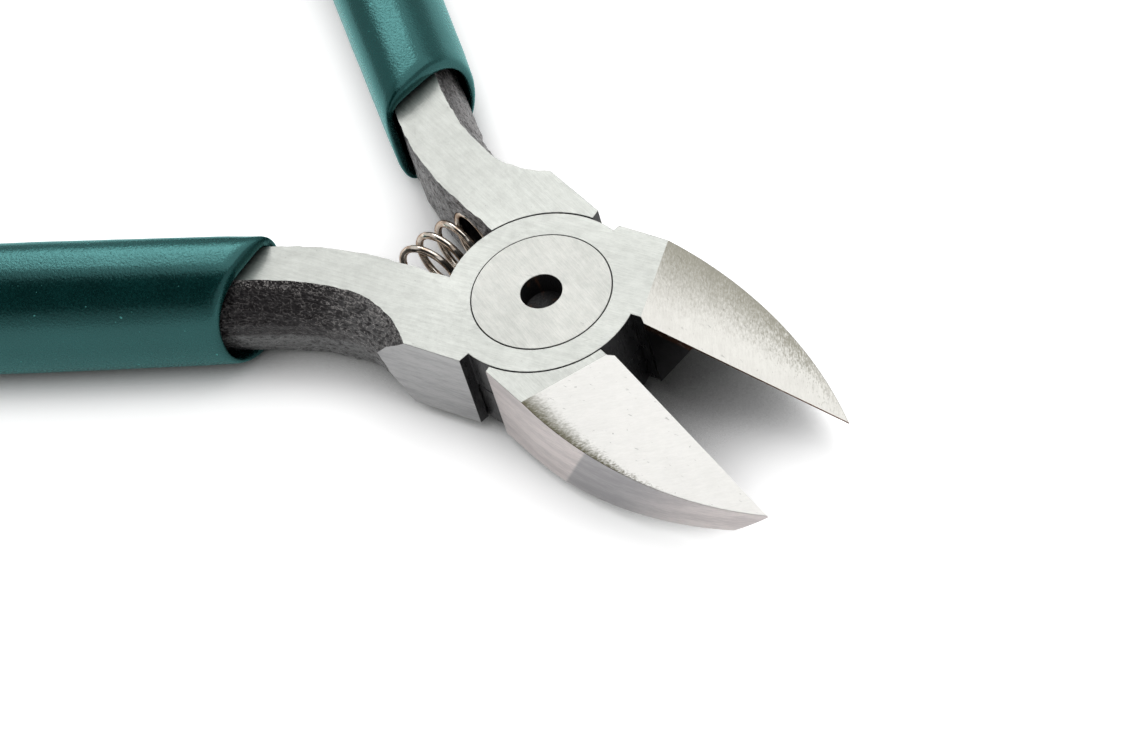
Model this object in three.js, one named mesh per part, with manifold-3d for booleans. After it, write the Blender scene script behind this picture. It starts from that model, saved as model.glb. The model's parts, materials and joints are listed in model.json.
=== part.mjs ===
// Side cutters for electronics: two forged halves in a lap joint, a flush rivet, a coil spring and dipped sleeves.
// Millimetres, +Z up. The origin lies on the pivot axis at the joint's underside, and the jaws point along +X.
// Each half is built closed: its cutting edge along +X, its jaw on the +Y side and its handle on the -Y side.

import * as THREE from "three";
import { mergeVertices } from "three/addons/utils/BufferGeometryUtils.js";
import Module from "manifold-3d";

// Lap joint
const JOINT_THICKNESS = 8;
const LAP_RIM = 2.15; // metal between the rivet head and the rim of the lap
const LAP_SIDE_CLEARANCE = 0.15;
const LAP_FACE_CLEARANCE = 0.1;
const OPENING_AT_REST = 22.5; // degrees between the cutting edges
const STOP_ANGLE = 70.6; // degrees from the cutting edge to the shoulders that stop the opening

// Rivet
const RIVET_HEAD_RADIUS = 5.5;
const RIVET_HEAD_DEPTH = 2.2;
const RIVET_SHANK_RADIUS = 3.2;
const RIVET_CLEARANCE = 0.1;
const CENTRE_HOLE_RADIUS = 1.65;
const CENTRE_HOLE_DEPTH = 2.1;
const DRILL_POINT = 0.5; // depth of the cone at the bottom of the centre hole

// Jaw
const JAW_LENGTH = 25.8; // pivot axis to the tip
const JAW_SHOULDER = 0.2; // how far the jaw's side stands out past the lap's rim
const JAW_FLAT = 6; // pivot axis to where the jaw's side begins to curve in
const TILT_START = 8.5; // pivot axis to the line where the top face begins to slope down
const TILT_SKEW = 11; // degrees that this line is turned away from square
const TILT_ANGLE = 17;
const UNDERSIDE_START = 9.5;
const UNDERSIDE_ANGLE = 3.2;
const EDGE_CLEARANCE = 0.03; // half the gap between the closed cutting edges
const EDGE_LAND = 0.2; // height of the upright face at the cutting edge
const UNDERCUT_ANGLE = 36.5; // degrees from upright
const UNDERCUT_TOP = 13; // pivot axis to where the undercut begins at the cutting edge
const UNDERCUT_BOTTOM = 8.75; // pivot axis to where it begins at the underside
const RELIEF_END = 9; // pivot axis to the end of the relief behind the cutting edge
const RELIEF_DEPTH = 0.4;

// Neck and tang
const NECK_SHOULDER = 0.5; // how far the neck's ground side stands out past the lap's rim
const NECK_GAP = 1.25; // half the gap between the closed necks
const NECK_STRAIGHT = 12.5; // pivot axis to the start of the neck's bend
const NECK_BEND_RADIUS = 24;
const NECK_FILLET_RADIUS = 10; // outer curve from the shoulder into the waist
const WAIST = 15.2; // pivot axis to the narrowest place of the neck
const FLARE_ANGLE = 22; // degrees that the handle leans out after the neck
const TANG_HALF_WIDTH = 2.75; // middle line to the upright inner flank
const RIDGE_REACH = 3.2; // middle line to the forged ridge along the outer side
const RIDGE_DEPTH = 2.5; // ground face on the lap's side to the ridge
const LAP_DRAFT_AT_WAIST = 2.25; // how far this ground face stays back from the ridge
const LAP_DRAFT_AT_MOUTH = 2.7;
const FAR_DRAFT_AT_WAIST = 1.35; // the same for the ground face on the other side
const FAR_DRAFT_AT_MOUTH = 1.9;
const RIDGE_BULGE = 0.72; // share of the draft that is reached halfway to the ridge

// Handle
const FLARE_LENGTH = 25;
const BOW_RADIUS = 75;
const BOW_ANGLE = 24; // degrees that the handle turns back in
const TAIL_LENGTH = 29;
const TANG_END = 8; // how far the tang ends before the sleeve

// Sleeve
const SLEEVE_MOUTH = 23.4; // pivot axis to the plane of the open end
const SLEEVE_CLEARANCE = 0.35;
const SLEEVE_INNER_WALL = 0.9;
const SLEEVE_OUTER_WALL = 0.8;
const SLEEVE_TOP_WALL = 0.8;
const SLEEVE_LIFT = 0.35; // how far the sleeve's middle lies above the tang's
const SLEEVE_SWELL = 0.15; // how much the sleeve thickens on each side after its mouth
const SLEEVE_SWELL_LENGTH = 20;
const SLEEVE_INNER_SQUARENESS = 3.6; // 2 is an ellipse and higher is squarer
const SLEEVE_OUTER_SQUARENESS = 2;
const CAVITY_INNER_SQUARENESS = 8;
const CAVITY_OUTER_SQUARENESS = 2.4;
const SLEEVE_NOSE = 6; // length of the rounded end

// Spring
const SPRING_ARC_RADIUS = 12.2; // pivot axis to the middle of the coil
const SPRING_DIAMETER = 5;
const SPRING_WIRE = 0.6;
const SPRING_TURNS = 5;
const SPRING_END_GAP = 0.3;
const POCKET_DEPTH = 1.6;
const POCKET_CLEARANCE = 0.3;

// Fineness of curved faces
const ROUND_STEPS = 72;
const JAW_STEPS = 16;
const POCKET_STEPS = 24;
const SLEEVE_SIDES = 28;
const CAVITY_SIDES = 24;
const NECK_STEP = 0.9;
const HANDLE_STEP = 5;
const NOSE_RINGS = 7;
const COIL_STEPS = 8;
const COIL_SIDES = 5;

// Sizes that follow
const LAP_RADIUS = RIVET_HEAD_RADIUS + LAP_RIM;
const LAP_POCKET_RADIUS = LAP_RADIUS + LAP_SIDE_CLEARANCE;
const JAW_HALF_WIDTH = LAP_RADIUS + JAW_SHOULDER;
const NECK_HALF_WIDTH = LAP_RADIUS + NECK_SHOULDER;
const MIDDLE = JOINT_THICKNESS / 2;
const BEYOND = 1; // how far a cut runs past the face that it opens
const REACH = 4 * (JAW_LENGTH + SLEEVE_MOUTH); // size of a block that cuts away one side

const wasm = await Module();
wasm.setup();
const radians = THREE.MathUtils.degToRad;

// Solids

function solid(geometry) {
  const bare = geometry.clone();
  bare.deleteAttribute("normal");
  bare.deleteAttribute("uv");
  const merged = mergeVertices(bare);
  const vertProperties = merged.attributes.position.array;
  const triVerts = new Uint32Array(merged.index.array);
  return new wasm.Manifold(new wasm.Mesh({ numProp: 3, vertProperties, triVerts }));
}

function geometryOf(body) {
  const mesh = body.getMesh();
  const geometry = new THREE.BufferGeometry();
  geometry.setAttribute("position", new THREE.BufferAttribute(mesh.vertProperties, 3));
  geometry.setIndex(new THREE.BufferAttribute(mesh.triVerts, 1));
  geometry.computeVertexNormals();
  return geometry;
}

function prism(shape, low, high) {
  const options = { depth: high - low, bevelEnabled: false, curveSegments: JAW_STEPS };
  return solid(new THREE.ExtrudeGeometry(shape, options).translate(0, 0, low));
}

function disc(radius, low, high) {
  const geometry = new THREE.CylinderGeometry(radius, radius, high - low, ROUND_STEPS);
  return solid(geometry.rotateX(Math.PI / 2).translate(0, 0, (low + high) / 2));
}

// A large block with one face through the point, on the side that the direction points to.
function blockBeyond(point, direction) {
  const turn = new THREE.Quaternion().setFromUnitVectors(new THREE.Vector3(0, 0, 1), direction.normalize());
  const block = new THREE.BoxGeometry(REACH, REACH, REACH).translate(0, 0, REACH / 2);
  return solid(block.applyQuaternion(turn).translate(point.x, point.y, point.z));
}

// Skins a closed body over rings of equally many points, each counter-clockwise seen from the end of the run.
function loft(rings) {
  const count = rings[0].length;
  const last = (rings.length - 1) * count;
  const index = [];
  for (let start = 0; start < last; start += count) {
    for (let side = 0; side < count; side++) {
      const a = start + side;
      const b = start + ((side + 1) % count);
      index.push(a, b, b + count, a, b + count, a + count);
    }
  }
  for (let corner = 1; corner + 1 < count; corner++) {
    index.push(0, corner + 1, corner);
    index.push(last, last + corner, last + corner + 1);
  }
  const geometry = new THREE.BufferGeometry().setFromPoints(rings.flat());
  geometry.setIndex(index);
  return geometry;
}

// Middle line of the handle

const NECK_MIDDLE = NECK_GAP + TANG_HALF_WIDTH;
const HANDLE_RUNS = [
  { length: NECK_STRAIGHT, turn: 0 },
  { length: NECK_BEND_RADIUS * radians(FLARE_ANGLE), turn: radians(FLARE_ANGLE) },
  { length: FLARE_LENGTH, turn: 0 },
  { length: BOW_RADIUS * radians(BOW_ANGLE), turn: -radians(BOW_ANGLE) },
  { length: TAIL_LENGTH, turn: 0 },
];
const HANDLE_LENGTH = HANDLE_RUNS.reduce((sum, run) => sum + run.length, 0);

// Place and lean of the middle line at a distance from the pivot. Lean 0 runs along -X and grows outwards.
function handleAt(distance) {
  let [x, y, lean, left] = [0, -NECK_MIDDLE, 0, distance];
  for (const { length, turn } of HANDLE_RUNS) {
    const part = Math.min(left, length);
    const next = lean + (turn * part) / length;
    const chord = turn === 0 ? part : (2 * length * Math.sin((next - lean) / 2)) / turn;
    const heading = (lean + next) / 2;
    x -= chord * Math.cos(heading);
    y -= chord * Math.sin(heading);
    lean = next;
    left -= part;
  }
  return { x, y, lean };
}

// A section of [outward, height] pairs, set square to the middle line at a distance from the pivot.
function ringAt(distance, section) {
  const { x, y, lean } = handleAt(distance);
  const place = ([out, height]) =>
    new THREE.Vector3(x + out * Math.sin(lean), y - out * Math.cos(lean), height);
  return section.map(place);
}

function distances(from, to, step) {
  const count = Math.ceil((to - from) / step);
  return Array.from({ length: count + 1 }, (_, i) => from + ((to - from) * i) / count);
}

// An oval section whose inner and outer halves each have their own half width and squareness.
function oval(inner, outer, halfHeight, sides) {
  const bent = (value, squareness) => Math.sign(value) * Math.abs(value) ** (2 / squareness);
  return Array.from({ length: sides }, (_, i) => {
    const angle = (2 * Math.PI * i) / sides;
    const { halfWidth, squareness } = Math.cos(angle) < 0 ? inner : outer;
    const height = halfHeight * bent(Math.sin(angle), squareness);
    return [halfWidth * bent(Math.cos(angle), squareness), MIDDLE + SLEEVE_LIFT + height];
  });
}

// Forged half

function jawBlank() {
  const radius = ((JAW_LENGTH - JAW_FLAT) ** 2 + JAW_HALF_WIDTH ** 2) / (2 * JAW_HALF_WIDTH);
  const centreY = JAW_HALF_WIDTH - radius;
  const tipAngle = Math.asin((EDGE_CLEARANCE - centreY) / radius);
  const backwards = 1 / Math.tan(radians(STOP_ANGLE));
  const outline = new THREE.Shape();
  outline.moveTo(RELIEF_DEPTH * backwards, RELIEF_DEPTH);
  outline.lineTo(RELIEF_END - RELIEF_DEPTH, RELIEF_DEPTH);
  outline.lineTo(RELIEF_END, EDGE_CLEARANCE);
  outline.absarc(JAW_FLAT, centreY, radius, tipAngle, Math.PI / 2, false);
  outline.lineTo(JAW_HALF_WIDTH * backwards, JAW_HALF_WIDTH);
  return prism(outline, 0, JOINT_THICKNESS);
}

// The wedge that is cut from under the cutting edge, from a slanted start to past the tip.
function undercut() {
  const slope = Math.tan(radians(TILT_ANGLE)) * Math.cos(radians(TILT_SKEW));
  const spread = Math.tan(radians(UNDERCUT_ANGLE));
  const toTilt = TILT_START / Math.cos(radians(TILT_SKEW));
  const top = JOINT_THICKNESS - slope * (UNDERCUT_TOP - toTilt) - EDGE_LAND;
  const slant = (UNDERCUT_TOP - UNDERCUT_BOTTOM) / top;
  const at = (run, drop, y) => {
    const along = run - (slant * drop) / (1 + slant * slope);
    return new THREE.Vector3(UNDERCUT_TOP + along, y, top - slope * along - drop);
  };
  const above = -(BEYOND + EDGE_CLEARANCE) / spread;
  const below = top + JOINT_THICKNESS;
  const section = (run) => [
    at(run, above, -BEYOND),
    at(run, below, -BEYOND),
    at(run, below, EDGE_CLEARANCE + below * spread),
  ];
  return solid(loft([section(0), section(JAW_LENGTH)]));
}

function jaw() {
  const skew = radians(TILT_SKEW);
  const tilt = radians(TILT_ANGLE);
  const rise = radians(UNDERSIDE_ANGLE);
  const start = new THREE.Vector3(TILT_START * Math.cos(skew), TILT_START * Math.sin(skew), JOINT_THICKNESS);
  const up = new THREE.Vector3(Math.sin(tilt) * Math.cos(skew), Math.sin(tilt) * Math.sin(skew), Math.cos(tilt));
  const down = new THREE.Vector3(Math.sin(rise), 0, -Math.cos(rise));
  return jawBlank()
    .subtract(blockBeyond(start, up))
    .subtract(blockBeyond(new THREE.Vector3(UNDERSIDE_START, 0, 0), down))
    .subtract(undercut());
}

// How far before the waist the outer fillet starts, a little outside the ground side of the shoulder.
const SHOULDER_RISE = NECK_HALF_WIDTH + BEYOND - NECK_MIDDLE - RIDGE_REACH + LAP_DRAFT_AT_WAIST;
const FILLET_LEFT = Math.max(NECK_FILLET_RADIUS - SHOULDER_RISE, 0);
const SHOULDER_RUN = Math.sqrt(NECK_FILLET_RADIUS ** 2 - FILLET_LEFT ** 2);

// The forged neck and tang: two flat ground faces, an upright inner flank and a ridge along the outer side.
function tangRing(distance, lapOnTop) {
  const passed = THREE.MathUtils.clamp((distance - WAIST) / (SLEEVE_MOUTH - WAIST), 0, 1);
  const lapDraft = THREE.MathUtils.lerp(LAP_DRAFT_AT_WAIST, LAP_DRAFT_AT_MOUTH, passed);
  const farDraft = THREE.MathUtils.lerp(FAR_DRAFT_AT_WAIST, FAR_DRAFT_AT_MOUTH, passed);
  const before = THREE.MathUtils.clamp(WAIST - distance, 0, SHOULDER_RUN);
  const fillet = NECK_FILLET_RADIUS - Math.sqrt(NECK_FILLET_RADIUS ** 2 - before ** 2);
  const ridge = RIDGE_REACH + fillet;
  const ridgeHeight = JOINT_THICKNESS - RIDGE_DEPTH;
  const section = [
    [-TANG_HALF_WIDTH, 0],
    [ridge - farDraft, 0],
    [ridge - farDraft * (1 - RIDGE_BULGE), ridgeHeight / 2],
    [ridge, ridgeHeight],
    [ridge - lapDraft * (1 - RIDGE_BULGE), JOINT_THICKNESS - RIDGE_DEPTH / 2],
    [ridge - lapDraft, JOINT_THICKNESS],
    [-TANG_HALF_WIDTH, JOINT_THICKNESS],
  ];
  const turnedOver = section.map(([out, height]) => [out, JOINT_THICKNESS - height]).reverse();
  return ringAt(distance, lapOnTop ? section : turnedOver);
}

// The neck and tang with the ground side of the shoulder and the face that stops the opening.
function tang(lapOnTop) {
  const mouth = SLEEVE_MOUTH + BEYOND;
  const shown = distances(WAIST - SHOULDER_RUN, mouth, NECK_STEP);
  const hidden = distances(mouth, HANDLE_LENGTH - TANG_END, HANDLE_STEP).slice(1);
  const rings = [0, ...shown, ...hidden].map((distance) => tangRing(distance, lapOnTop));
  const forged = solid(loft(rings));
  const side = new THREE.BoxGeometry(WAIST, REACH, REACH);
  side.translate(BEYOND - WAIST / 2, -NECK_HALF_WIDTH - REACH / 2, 0);
  const stop = radians(STOP_ANGLE);
  const ahead = new THREE.Vector3(Math.sin(stop), -Math.cos(stop), 0);
  return forged.subtract(solid(side)).subtract(blockBeyond(new THREE.Vector3(), ahead));
}

// Angle from the closed neck's middle plane to the floor of its spring pocket, about the pivot.
const POCKET_FLOOR = Math.asin(NECK_GAP / SPRING_ARC_RADIUS) + POCKET_DEPTH / SPRING_ARC_RADIUS;

function springPocket() {
  const radius = SPRING_DIAMETER / 2 + POCKET_CLEARANCE;
  const length = 2 * POCKET_DEPTH + BEYOND;
  const bore = new THREE.CylinderGeometry(radius, radius, length, POCKET_STEPS).translate(0, length / 2, 0);
  return solid(bore.translate(-SPRING_ARC_RADIUS, 0, MIDDLE).rotateZ(POCKET_FLOOR));
}

function forgedHalf(lapOnTop) {
  const lapFace = MIDDLE + (lapOnTop ? LAP_FACE_CLEARANCE : -LAP_FACE_CLEARANCE) / 2;
  const seat = RIVET_HEAD_DEPTH + RIVET_CLEARANCE;
  const lap = lapOnTop ? [lapFace, JOINT_THICKNESS] : [0, lapFace];
  const otherLap = lapOnTop ? [-BEYOND, lapFace] : [lapFace, JOINT_THICKNESS + BEYOND];
  const headSeat = lapOnTop ? [JOINT_THICKNESS - seat, JOINT_THICKNESS + BEYOND] : [-BEYOND, seat];
  return jaw()
    .add(tang(lapOnTop))
    .add(disc(LAP_RADIUS, ...lap))
    .subtract(disc(LAP_POCKET_RADIUS, ...otherLap))
    .subtract(disc(RIVET_HEAD_RADIUS + RIVET_CLEARANCE, ...headSeat))
    .subtract(disc(RIVET_SHANK_RADIUS + RIVET_CLEARANCE, -BEYOND, JOINT_THICKNESS + BEYOND))
    .subtract(springPocket());
}

// Dipped sleeve

function cavityRing(distance) {
  const inner = { halfWidth: TANG_HALF_WIDTH + SLEEVE_CLEARANCE, squareness: CAVITY_INNER_SQUARENESS };
  const outer = { halfWidth: RIDGE_REACH + SLEEVE_CLEARANCE, squareness: CAVITY_OUTER_SQUARENESS };
  return ringAt(distance, oval(inner, outer, MIDDLE + SLEEVE_LIFT + SLEEVE_CLEARANCE, CAVITY_SIDES));
}

function sleeveRing(distance) {
  const grown = THREE.MathUtils.smoothstep(distance - SLEEVE_MOUTH, 0, SLEEVE_SWELL_LENGTH);
  const added = SLEEVE_CLEARANCE + SLEEVE_SWELL * grown;
  const intoNose = Math.max(0, distance - (HANDLE_LENGTH - SLEEVE_NOSE)) / SLEEVE_NOSE;
  const scale = Math.sqrt(1 - intoNose ** 2);
  const innerWidth = scale * (TANG_HALF_WIDTH + added + SLEEVE_INNER_WALL);
  const outerWidth = scale * (RIDGE_REACH + added + SLEEVE_OUTER_WALL);
  const inner = { halfWidth: innerWidth, squareness: SLEEVE_INNER_SQUARENESS };
  const outer = { halfWidth: outerWidth, squareness: SLEEVE_OUTER_SQUARENESS };
  const halfHeight = scale * (MIDDLE + SLEEVE_LIFT + added + SLEEVE_TOP_WALL);
  return ringAt(distance, oval(inner, outer, halfHeight, SLEEVE_SIDES));
}

function sleeve() {
  const start = NECK_STRAIGHT;
  const nose = HANDLE_LENGTH - SLEEVE_NOSE;
  const noseRings = Array.from({ length: NOSE_RINGS }, (_, i) =>
    nose + SLEEVE_NOSE * Math.sin(((i + 1) / (NOSE_RINGS + 1)) * (Math.PI / 2)));
  const outside = solid(loft([...distances(start, nose, HANDLE_STEP), ...noseRings].map(sleeveRing)));
  const inside = distances(start - BEYOND, HANDLE_LENGTH - TANG_END + SLEEVE_CLEARANCE, HANDLE_STEP);
  return outside
    .subtract(solid(loft(inside.map(cavityRing))))
    .subtract(blockBeyond(new THREE.Vector3(-SLEEVE_MOUTH, 0, 0), new THREE.Vector3(1, 0, 0)));
}

// Rivet

function rivet() {
  const holeFloor = JOINT_THICKNESS - CENTRE_HOLE_DEPTH;
  const profile = [
    [0, 0],
    [RIVET_HEAD_RADIUS, 0],
    [RIVET_HEAD_RADIUS, RIVET_HEAD_DEPTH],
    [RIVET_SHANK_RADIUS, RIVET_HEAD_DEPTH],
    [RIVET_SHANK_RADIUS, JOINT_THICKNESS - RIVET_HEAD_DEPTH],
    [RIVET_HEAD_RADIUS, JOINT_THICKNESS - RIVET_HEAD_DEPTH],
    [RIVET_HEAD_RADIUS, JOINT_THICKNESS],
    [CENTRE_HOLE_RADIUS, JOINT_THICKNESS],
    [CENTRE_HOLE_RADIUS, holeFloor],
    [0, holeFloor - DRILL_POINT],
  ];
  const points = profile.map(([radius, height]) => new THREE.Vector2(radius, height));
  return new THREE.LatheGeometry(points, ROUND_STEPS).rotateX(Math.PI / 2);
}

// Spring, coiled round an arc about the pivot, with a straight end towards each pocket floor

function springPath() {
  const reach = POCKET_FLOOR + radians(OPENING_AT_REST / 2) - SPRING_END_GAP / SPRING_ARC_RADIUS;
  const straight = SPRING_WIRE / SPRING_ARC_RADIUS;
  const steps = Math.round(SPRING_TURNS * COIL_STEPS);
  const coilRadius = (SPRING_DIAMETER - SPRING_WIRE) / 2;
  const at = (bearing, turned) => {
    const radius = SPRING_ARC_RADIUS + coilRadius * Math.cos(turned);
    const height = MIDDLE + coilRadius * Math.sin(turned);
    return new THREE.Vector3(-radius * Math.cos(bearing), -radius * Math.sin(bearing), height);
  };
  const coil = Array.from({ length: steps + 1 }, (_, i) => {
    const bearing = THREE.MathUtils.lerp(reach - straight, straight - reach, i / steps);
    return at(bearing, (2 * Math.PI * SPRING_TURNS * i) / steps);
  });
  return [at(reach, 0), ...coil, at(-reach, 2 * Math.PI * SPRING_TURNS)];
}

function leastGap(path) {
  let least = Infinity;
  path.forEach((point, i) => {
    const others = path.slice(i + COIL_STEPS / 2);
    others.forEach((other) => {
      least = Math.min(least, point.distanceTo(other) - SPRING_WIRE);
    });
  });
  return least;
}

function wire(path) {
  const across = new THREE.Vector3(0, 0, 1);
  const rings = path.map((point, i) => {
    const before = path[Math.max(i - 1, 0)];
    const after = path[Math.min(i + 1, path.length - 1)];
    const along = after.clone().sub(before).normalize();
    across.addScaledVector(along, -across.dot(along)).normalize();
    const third = along.clone().cross(across);
    return Array.from({ length: COIL_SIDES }, (_, side) => {
      const angle = (2 * Math.PI * side) / COIL_SIDES;
      return point
        .clone()
        .addScaledVector(across, (SPRING_WIRE / 2) * Math.cos(angle))
        .addScaledVector(third, (SPRING_WIRE / 2) * Math.sin(angle));
    });
  });
  return loft(rings);
}

// Materials

const steel = new THREE.MeshStandardMaterial({ color: 0xc9cbc6, metalness: 1, roughness: 0.38 });
const rivetSteel = new THREE.MeshStandardMaterial({ color: 0xd0d1cb, metalness: 1, roughness: 0.34 });
const springWire = new THREE.MeshStandardMaterial({ color: 0xb8b4ac, metalness: 1, roughness: 0.2 });
const dippedVinyl = new THREE.MeshStandardMaterial({ color: 0x06504a, metalness: 0, roughness: 0.45 });

// Assembly, opened to rest

function named(name, geometry, material) {
  const mesh = new THREE.Mesh(geometry, material);
  mesh.name = name;
  return mesh;
}

const sideCutters = new THREE.Group();
const halfOpening = radians(OPENING_AT_REST / 2);

const topHalf = new THREE.Group();
topHalf.add(named("top_lap_half", geometryOf(forgedHalf(true)), steel));
topHalf.add(named("right_grip", geometryOf(sleeve()), dippedVinyl));
topHalf.rotation.z = halfOpening;
sideCutters.add(topHalf);

const bottomHalf = new THREE.Group();
bottomHalf.add(named("bottom_lap_half", geometryOf(forgedHalf(false)), steel));
bottomHalf.add(named("left_grip", geometryOf(sleeve()), dippedVinyl));
bottomHalf.scale.y = -1;
bottomHalf.rotation.z = -halfOpening;
sideCutters.add(bottomHalf);

sideCutters.add(named("pivot_rivet", rivet(), rivetSteel));
const coilPath = springPath();
sideCutters.add(named("return_spring", wire(coilPath), springWire));
console.log(`Least gap between the spring's turns: ${leastGap(coilPath).toFixed(2)} mm`);

export default sideCutters;
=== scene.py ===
"""Electronics side cutters, dressed for a plain studio picture.

Each sub-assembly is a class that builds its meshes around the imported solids: the two forged halves, the
rivet, the spring and the dipped sleeves. Sizes are in millimetres and meshes in metres, in the row's frame.
A half's own frame has its cutting edge along +X, its jaw on the +Y side and its handle on the -Y side.
"""

import json
import logging
import math
from dataclasses import dataclass
from enum import Enum

import bmesh
import bpy
from mathutils import Matrix, Vector, noise


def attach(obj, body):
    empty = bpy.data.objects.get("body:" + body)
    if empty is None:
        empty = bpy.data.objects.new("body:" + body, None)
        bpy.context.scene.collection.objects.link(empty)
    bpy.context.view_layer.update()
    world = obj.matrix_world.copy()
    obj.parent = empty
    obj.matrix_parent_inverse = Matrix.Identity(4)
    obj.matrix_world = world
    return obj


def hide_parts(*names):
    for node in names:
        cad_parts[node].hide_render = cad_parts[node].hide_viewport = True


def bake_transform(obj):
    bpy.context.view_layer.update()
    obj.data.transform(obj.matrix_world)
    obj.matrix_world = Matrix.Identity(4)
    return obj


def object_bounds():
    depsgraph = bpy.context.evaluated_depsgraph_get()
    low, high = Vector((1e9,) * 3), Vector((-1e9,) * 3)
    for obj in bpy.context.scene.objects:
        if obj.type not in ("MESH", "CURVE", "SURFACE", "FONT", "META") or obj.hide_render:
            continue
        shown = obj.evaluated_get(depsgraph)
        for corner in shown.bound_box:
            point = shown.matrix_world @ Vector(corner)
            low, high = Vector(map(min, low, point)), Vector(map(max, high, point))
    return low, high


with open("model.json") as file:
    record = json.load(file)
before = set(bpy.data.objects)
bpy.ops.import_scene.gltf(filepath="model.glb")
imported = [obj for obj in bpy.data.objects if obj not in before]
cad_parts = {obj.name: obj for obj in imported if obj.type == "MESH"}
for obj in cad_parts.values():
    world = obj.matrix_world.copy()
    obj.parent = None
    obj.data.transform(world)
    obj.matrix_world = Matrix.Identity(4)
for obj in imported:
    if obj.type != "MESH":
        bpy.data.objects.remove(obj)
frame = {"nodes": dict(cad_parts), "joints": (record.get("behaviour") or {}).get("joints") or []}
CAD_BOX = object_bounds()

MM = 0.001
LOG = logging.getLogger("side_cutters")
PHOTO_WIDTH = 1134

Colour = tuple[float, float, float, float]
Triple = tuple[float, float, float]
Range = tuple[float, float]
Socket = bpy.types.NodeSocket

WHITE = (1.0, 1.0, 1.0, 1.0)

# Values between which most of a noise lies, and nearly all of it, and its mean
MOST_NOISE = (0.3, 0.7)
ALL_NOISE = (0.25, 0.75)
MEAN_NOISE = 0.5


class Body(Enum):
    """The two rigid bodies that the hinge joins."""

    TOP = "top_half"
    BOTTOM = "bottom_half"


class Zone(Enum):
    """The finishes that one forged half shows, in the order of its material slots."""

    GROUND = 0
    BEVEL = 1
    SIDE = 2
    SCALE = 3
    BLACKENED = 4
    EDGE = 5


# Frames


@dataclass(frozen=True)
class HalfFrame:
    """Where one half lies at rest: turned about the pivot, and turned over for the bottom half.

    Attributes:
        body: the rigid body that the half belongs to.
        turn: degrees that the half is turned open from closed.
        mirror: -1 where the half is the other one's mirror image, otherwise 1.
    """

    body: Body
    turn: float
    mirror: int

    def to_row(self, x: float, y: float, z: float) -> Vector:
        """Gives a point of the half's frame, in millimetres, in the row's frame in metres."""
        return Matrix.Rotation(math.radians(self.turn), 3, "Z") @ Vector((x, self.mirror * y, z)) * MM

    def to_half(self, point: Vector) -> Vector:
        """Gives a point or direction of the row's frame in the half's frame, without a change of units."""
        turned = Matrix.Rotation(-math.radians(self.turn), 3, "Z") @ Vector(point)
        return Vector((turned.x, self.mirror * turned.y, turned.z))


@dataclass(frozen=True)
class HandleLine:
    """The middle line of a handle, as straight runs and arcs from the pivot to the sleeve's end.

    Attributes:
        neck_middle: distance from the closed tool's middle plane to the line where it starts.
        neck_straight: length of the straight start.
        bend_radius: radius of the bend that leans the handle out.
        flare: degrees that the handle leans out.
        flare_length: length of the straight run after the bend.
        bow_radius: radius of the long bow that turns the handle back in.
        bow: degrees that the bow turns.
        tail: length of the straight end.
    """

    neck_middle: float = 4.0
    neck_straight: float = 12.5
    bend_radius: float = 24.0
    flare: float = 22.0
    flare_length: float = 25.0
    bow_radius: float = 75.0
    bow: float = 24.0
    tail: float = 29.0

    def runs(self) -> list[Range]:
        """Lists the straight runs and arcs in order.

        Returns:
            The length of each one and the angle that it turns outwards, in radians.
        """
        flare, bow = math.radians(self.flare), math.radians(self.bow)
        return [
            (self.neck_straight, 0.0),
            (self.bend_radius * flare, flare),
            (self.flare_length, 0.0),
            (self.bow_radius * bow, -bow),
            (self.tail, 0.0),
        ]

    def length(self) -> float:
        """Gives the length of the whole line."""
        return sum(run for run, _ in self.runs())

    def at(self, distance: float) -> Triple:
        """Finds the place and lean of the line.

        Args:
            distance: length along the line from the pivot.

        Returns:
            The x and y of the point in the half's frame, and the lean outwards from -X in radians.
        """
        x, y, lean, left = 0.0, -self.neck_middle, 0.0, distance
        for length, turn in self.runs():
            part = min(left, length)
            following = lean + turn * part / length
            chord = part if turn == 0 else 2 * length * math.sin((following - lean) / 2) / turn
            heading = (lean + following) / 2
            x -= chord * math.cos(heading)
            y -= chord * math.sin(heading)
            lean = following
            left -= part
        return x, y, lean


# Materials


@dataclass(frozen=True)
class Grain:
    """A noise that colours or roughens a surface.

    Attributes:
        scale: grains per millimetre along each axis.
        detail: octaves of finer noise.
        rough: strength of the finer octaves.
        shown: values of the noise between which the grain comes up.
        share: how much of it shows then.
    """

    scale: Triple
    detail: float = 2.0
    rough: float = 0.5
    shown: Range = (0.35, 0.65)
    share: float = 1.0


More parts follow.
